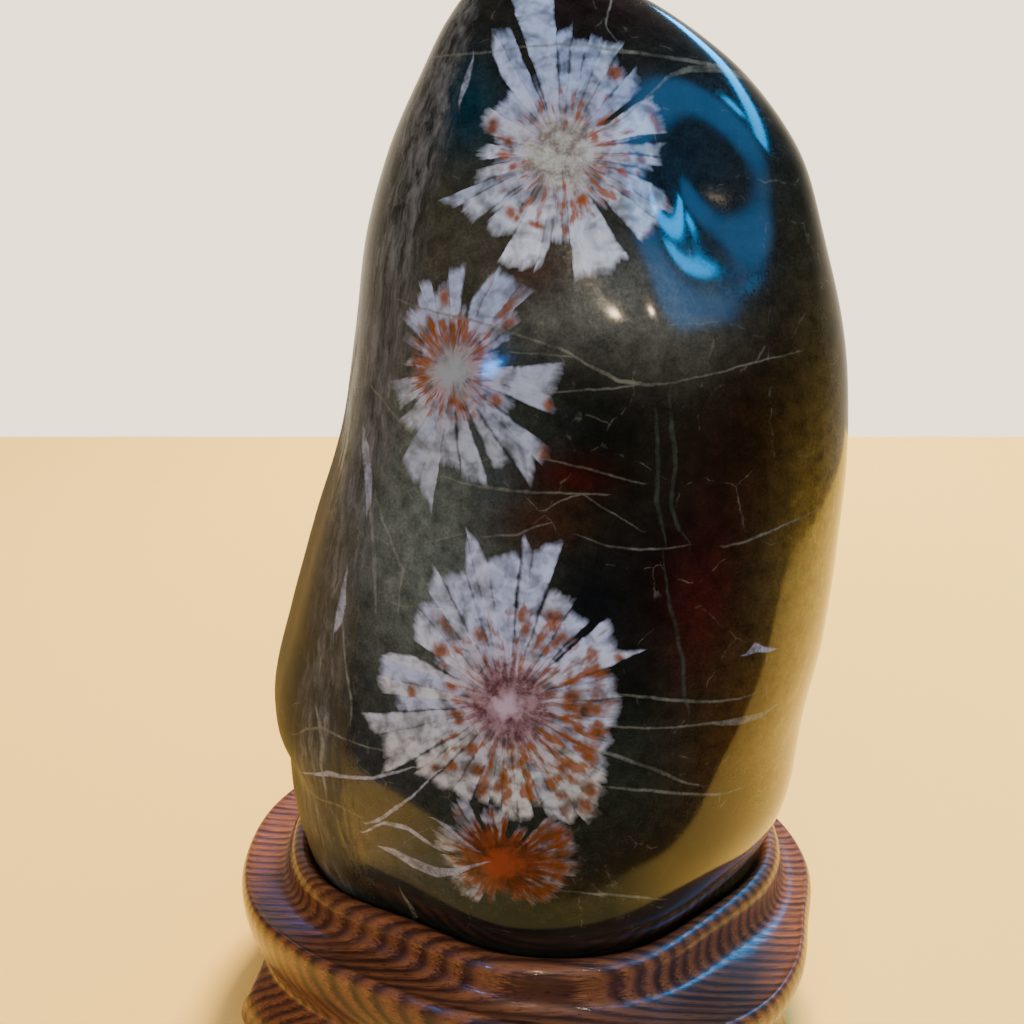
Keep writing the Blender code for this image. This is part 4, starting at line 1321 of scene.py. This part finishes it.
# %% [markdown]
# ## Floor and light
#
# A polished dark stone shows mostly what stands round it. In the photograph a bright
# pale room lies behind and to the left, a cool window stands high on the right, and
# the room in front is dim, which lets the flowers show clear of glare. The floor is a
# plain pale straw mat, and its golden shine low in the polish is its reflection.

# %% Floor
FLOOR_HALF_SIZE = 0.55
FLOOR_FRONT = -0.10
FLOOR_ROUGHNESS = 0.7


def make_floor():
    """A plain pale straw mat under the stand."""
    half = FLOOR_HALF_SIZE
    data = bpy.data.meshes.new("floor")
    corners = [(-half, FLOOR_FRONT, 0), (half, FLOOR_FRONT, 0), (half, half, 0), (-half, half, 0)]
    data.from_pydata(corners, [], [(0, 1, 2, 3)])
    piece = bpy.data.objects.new("floor", data)
    bpy.context.scene.collection.objects.link(piece)
    material, tree = new_material("matt pale straw")
    shader = add_node(tree, "BsdfPrincipled", {"Base Color": linear("ffcc60"),
                                              "Roughness": FLOOR_ROUGHNESS})
    add_node(tree, "OutputMaterial", {0: shader}, None)
    data.materials.append(material)
    return piece


make_floor()
print("floor in metres:", 2 * FLOOR_HALF_SIZE, "by", FLOOR_HALF_SIZE - FLOOR_FRONT)

# %% [markdown]
# ### Lights
#
# A long cool window high on the right draws the blue streak on the shoulder, and one
# behind the stone edges its crown. Four small ones are seen only in the polish: the
# streak's bright end, the blue spot low on the left flank, and two lamps on the face.
# A lamp behind and a weak fill in front light the room and never show in the polish.


# %% Lights
def soft_light(name, aim, bearing, height, distance, size, radiance, colour):
    """A soft rectangle of light that faces a point from a bearing and a height angle."""
    data = bpy.data.lights.new(name, "AREA")
    data.shape = "RECTANGLE"
    data.size, data.size_y = size
    data.energy = radiance * math.pi * size[0] * size[1]
    data.color = linear(colour)[:3]
    lamp = bpy.data.objects.new(name, data)
    flat = math.cos(math.radians(height))
    way = Vector((flat * math.cos(math.radians(bearing)), flat * math.sin(math.radians(bearing)),
                  math.sin(math.radians(height))))
    lamp.location = Vector(aim) + way * distance
    lamp.rotation_euler = way.to_track_quat("Z", "Y").to_euler()
    bpy.context.scene.collection.objects.link(lamp)
    return lamp


SHOULDER = (0.035, -0.02, 0.2)
FACE = (0.0, -0.04, 0.13)
soft_light("high window", SHOULDER, 22.0, 44.0, 0.9, (1.25, 0.10), 26.0, "00aaff")
soft_light("rear window", FACE, 109.0, 47.0, 1.1, (0.34, 0.32), 4.6, "7c98ff")
# These are so small that they would draw a hard edge, so only their reflection is seen.
for name, aim, bearing, height, distance, size, radiance, colour in (
        ("shoulder spot", SHOULDER, -18.0, 45.5, 1.0, (0.11, 0.09), 26.0, "00aaff"),
        ("low window", FACE, 235.0, 9.0, 1.2, (0.12, 0.07), 60.0, "0094ff"),
        ("left lamp", FACE, 262.0, 30.5, 1.3, (0.055, 0.04), 230.0, "ffe2b8"),
        ("right lamp", FACE, 289.0, 35.5, 1.3, (0.055, 0.04), 230.0, "ffe2b8")):
    small = soft_light(name, aim, bearing, height, distance, size, radiance, colour)
    small.visible_diffuse = False
# These two light the room's dim side, and no window there should show in the polish.
for name, bearing, height, size, radiance, colour in (
        ("room lamp", 74.0, 50.0, (0.4, 0.4), 120.0, "fff0da"),
        ("front fill", 262.0, 34.0, (1.4, 1.0), 4.8, "f4f4ff")):
    soft = soft_light(name, FACE, bearing, height, 1.4, size, radiance, colour)
    soft.visible_glossy = False

# %% [markdown]
# ### The room
#
# The room is bright behind the stone and dim in front of it, and fades towards the
# ceiling. A soft patch of blue sky glows high on the right. Seen directly, all of it is
# one plain pale wall.

# %% The room
GLOW_WAY = (0.567, -0.547, 0.616)
GLOW_EDGE = 0.950
GLOW_MIDDLE = 0.995
GLOW = 4.5
SKY = "3ca8ff"
WALL = "f8e6c8"
WALL_SEEN = 3.0

world = bpy.data.worlds.new("pale room")
world.use_nodes = True
room = world.node_tree
room_way = add_node(room, "TexCoord")
room_parts = add_node(room, "SeparateXYZ", {0: room_way}).node
behind = add_node(room, "MapRange", {0: room_parts.outputs[1], 1: 0.2, 2: 0.9, 3: 0.08, 4: 1.1})
low_down = add_node(room, "MapRange", {0: room_parts.outputs[2], 1: 0.25, 2: 0.65, 3: 1.0, 4: 0.3})
room_light = add_node(room, "Math", {0: behind, 1: low_down}, operation="MULTIPLY")
seen = add_node(room, "LightPath")
room_light = add_node(room, "Mix", {0: seen, 2: room_light, 3: WALL_SEEN}, 0)
pale = add_node(room, "Background", {0: linear(WALL), 1: room_light})
facing = add_node(room, "VectorMath", {0: room_way, 1: GLOW_WAY}, 1, operation="DOT_PRODUCT")
glow = add_node(room, "MapRange", {0: facing, 1: GLOW_EDGE, 2: GLOW_MIDDLE, 3: 0.0, 4: GLOW},
                interpolation_type="SMOOTHERSTEP")
sky = add_node(room, "Background", {0: linear(SKY), 1: glow})
both = add_node(room, "AddShader", {0: pale, 1: sky})
room.links.new(both, room.nodes["World Output"].inputs[0])
room.nodes.remove(room.nodes["Background"])
bpy.context.scene.world = world
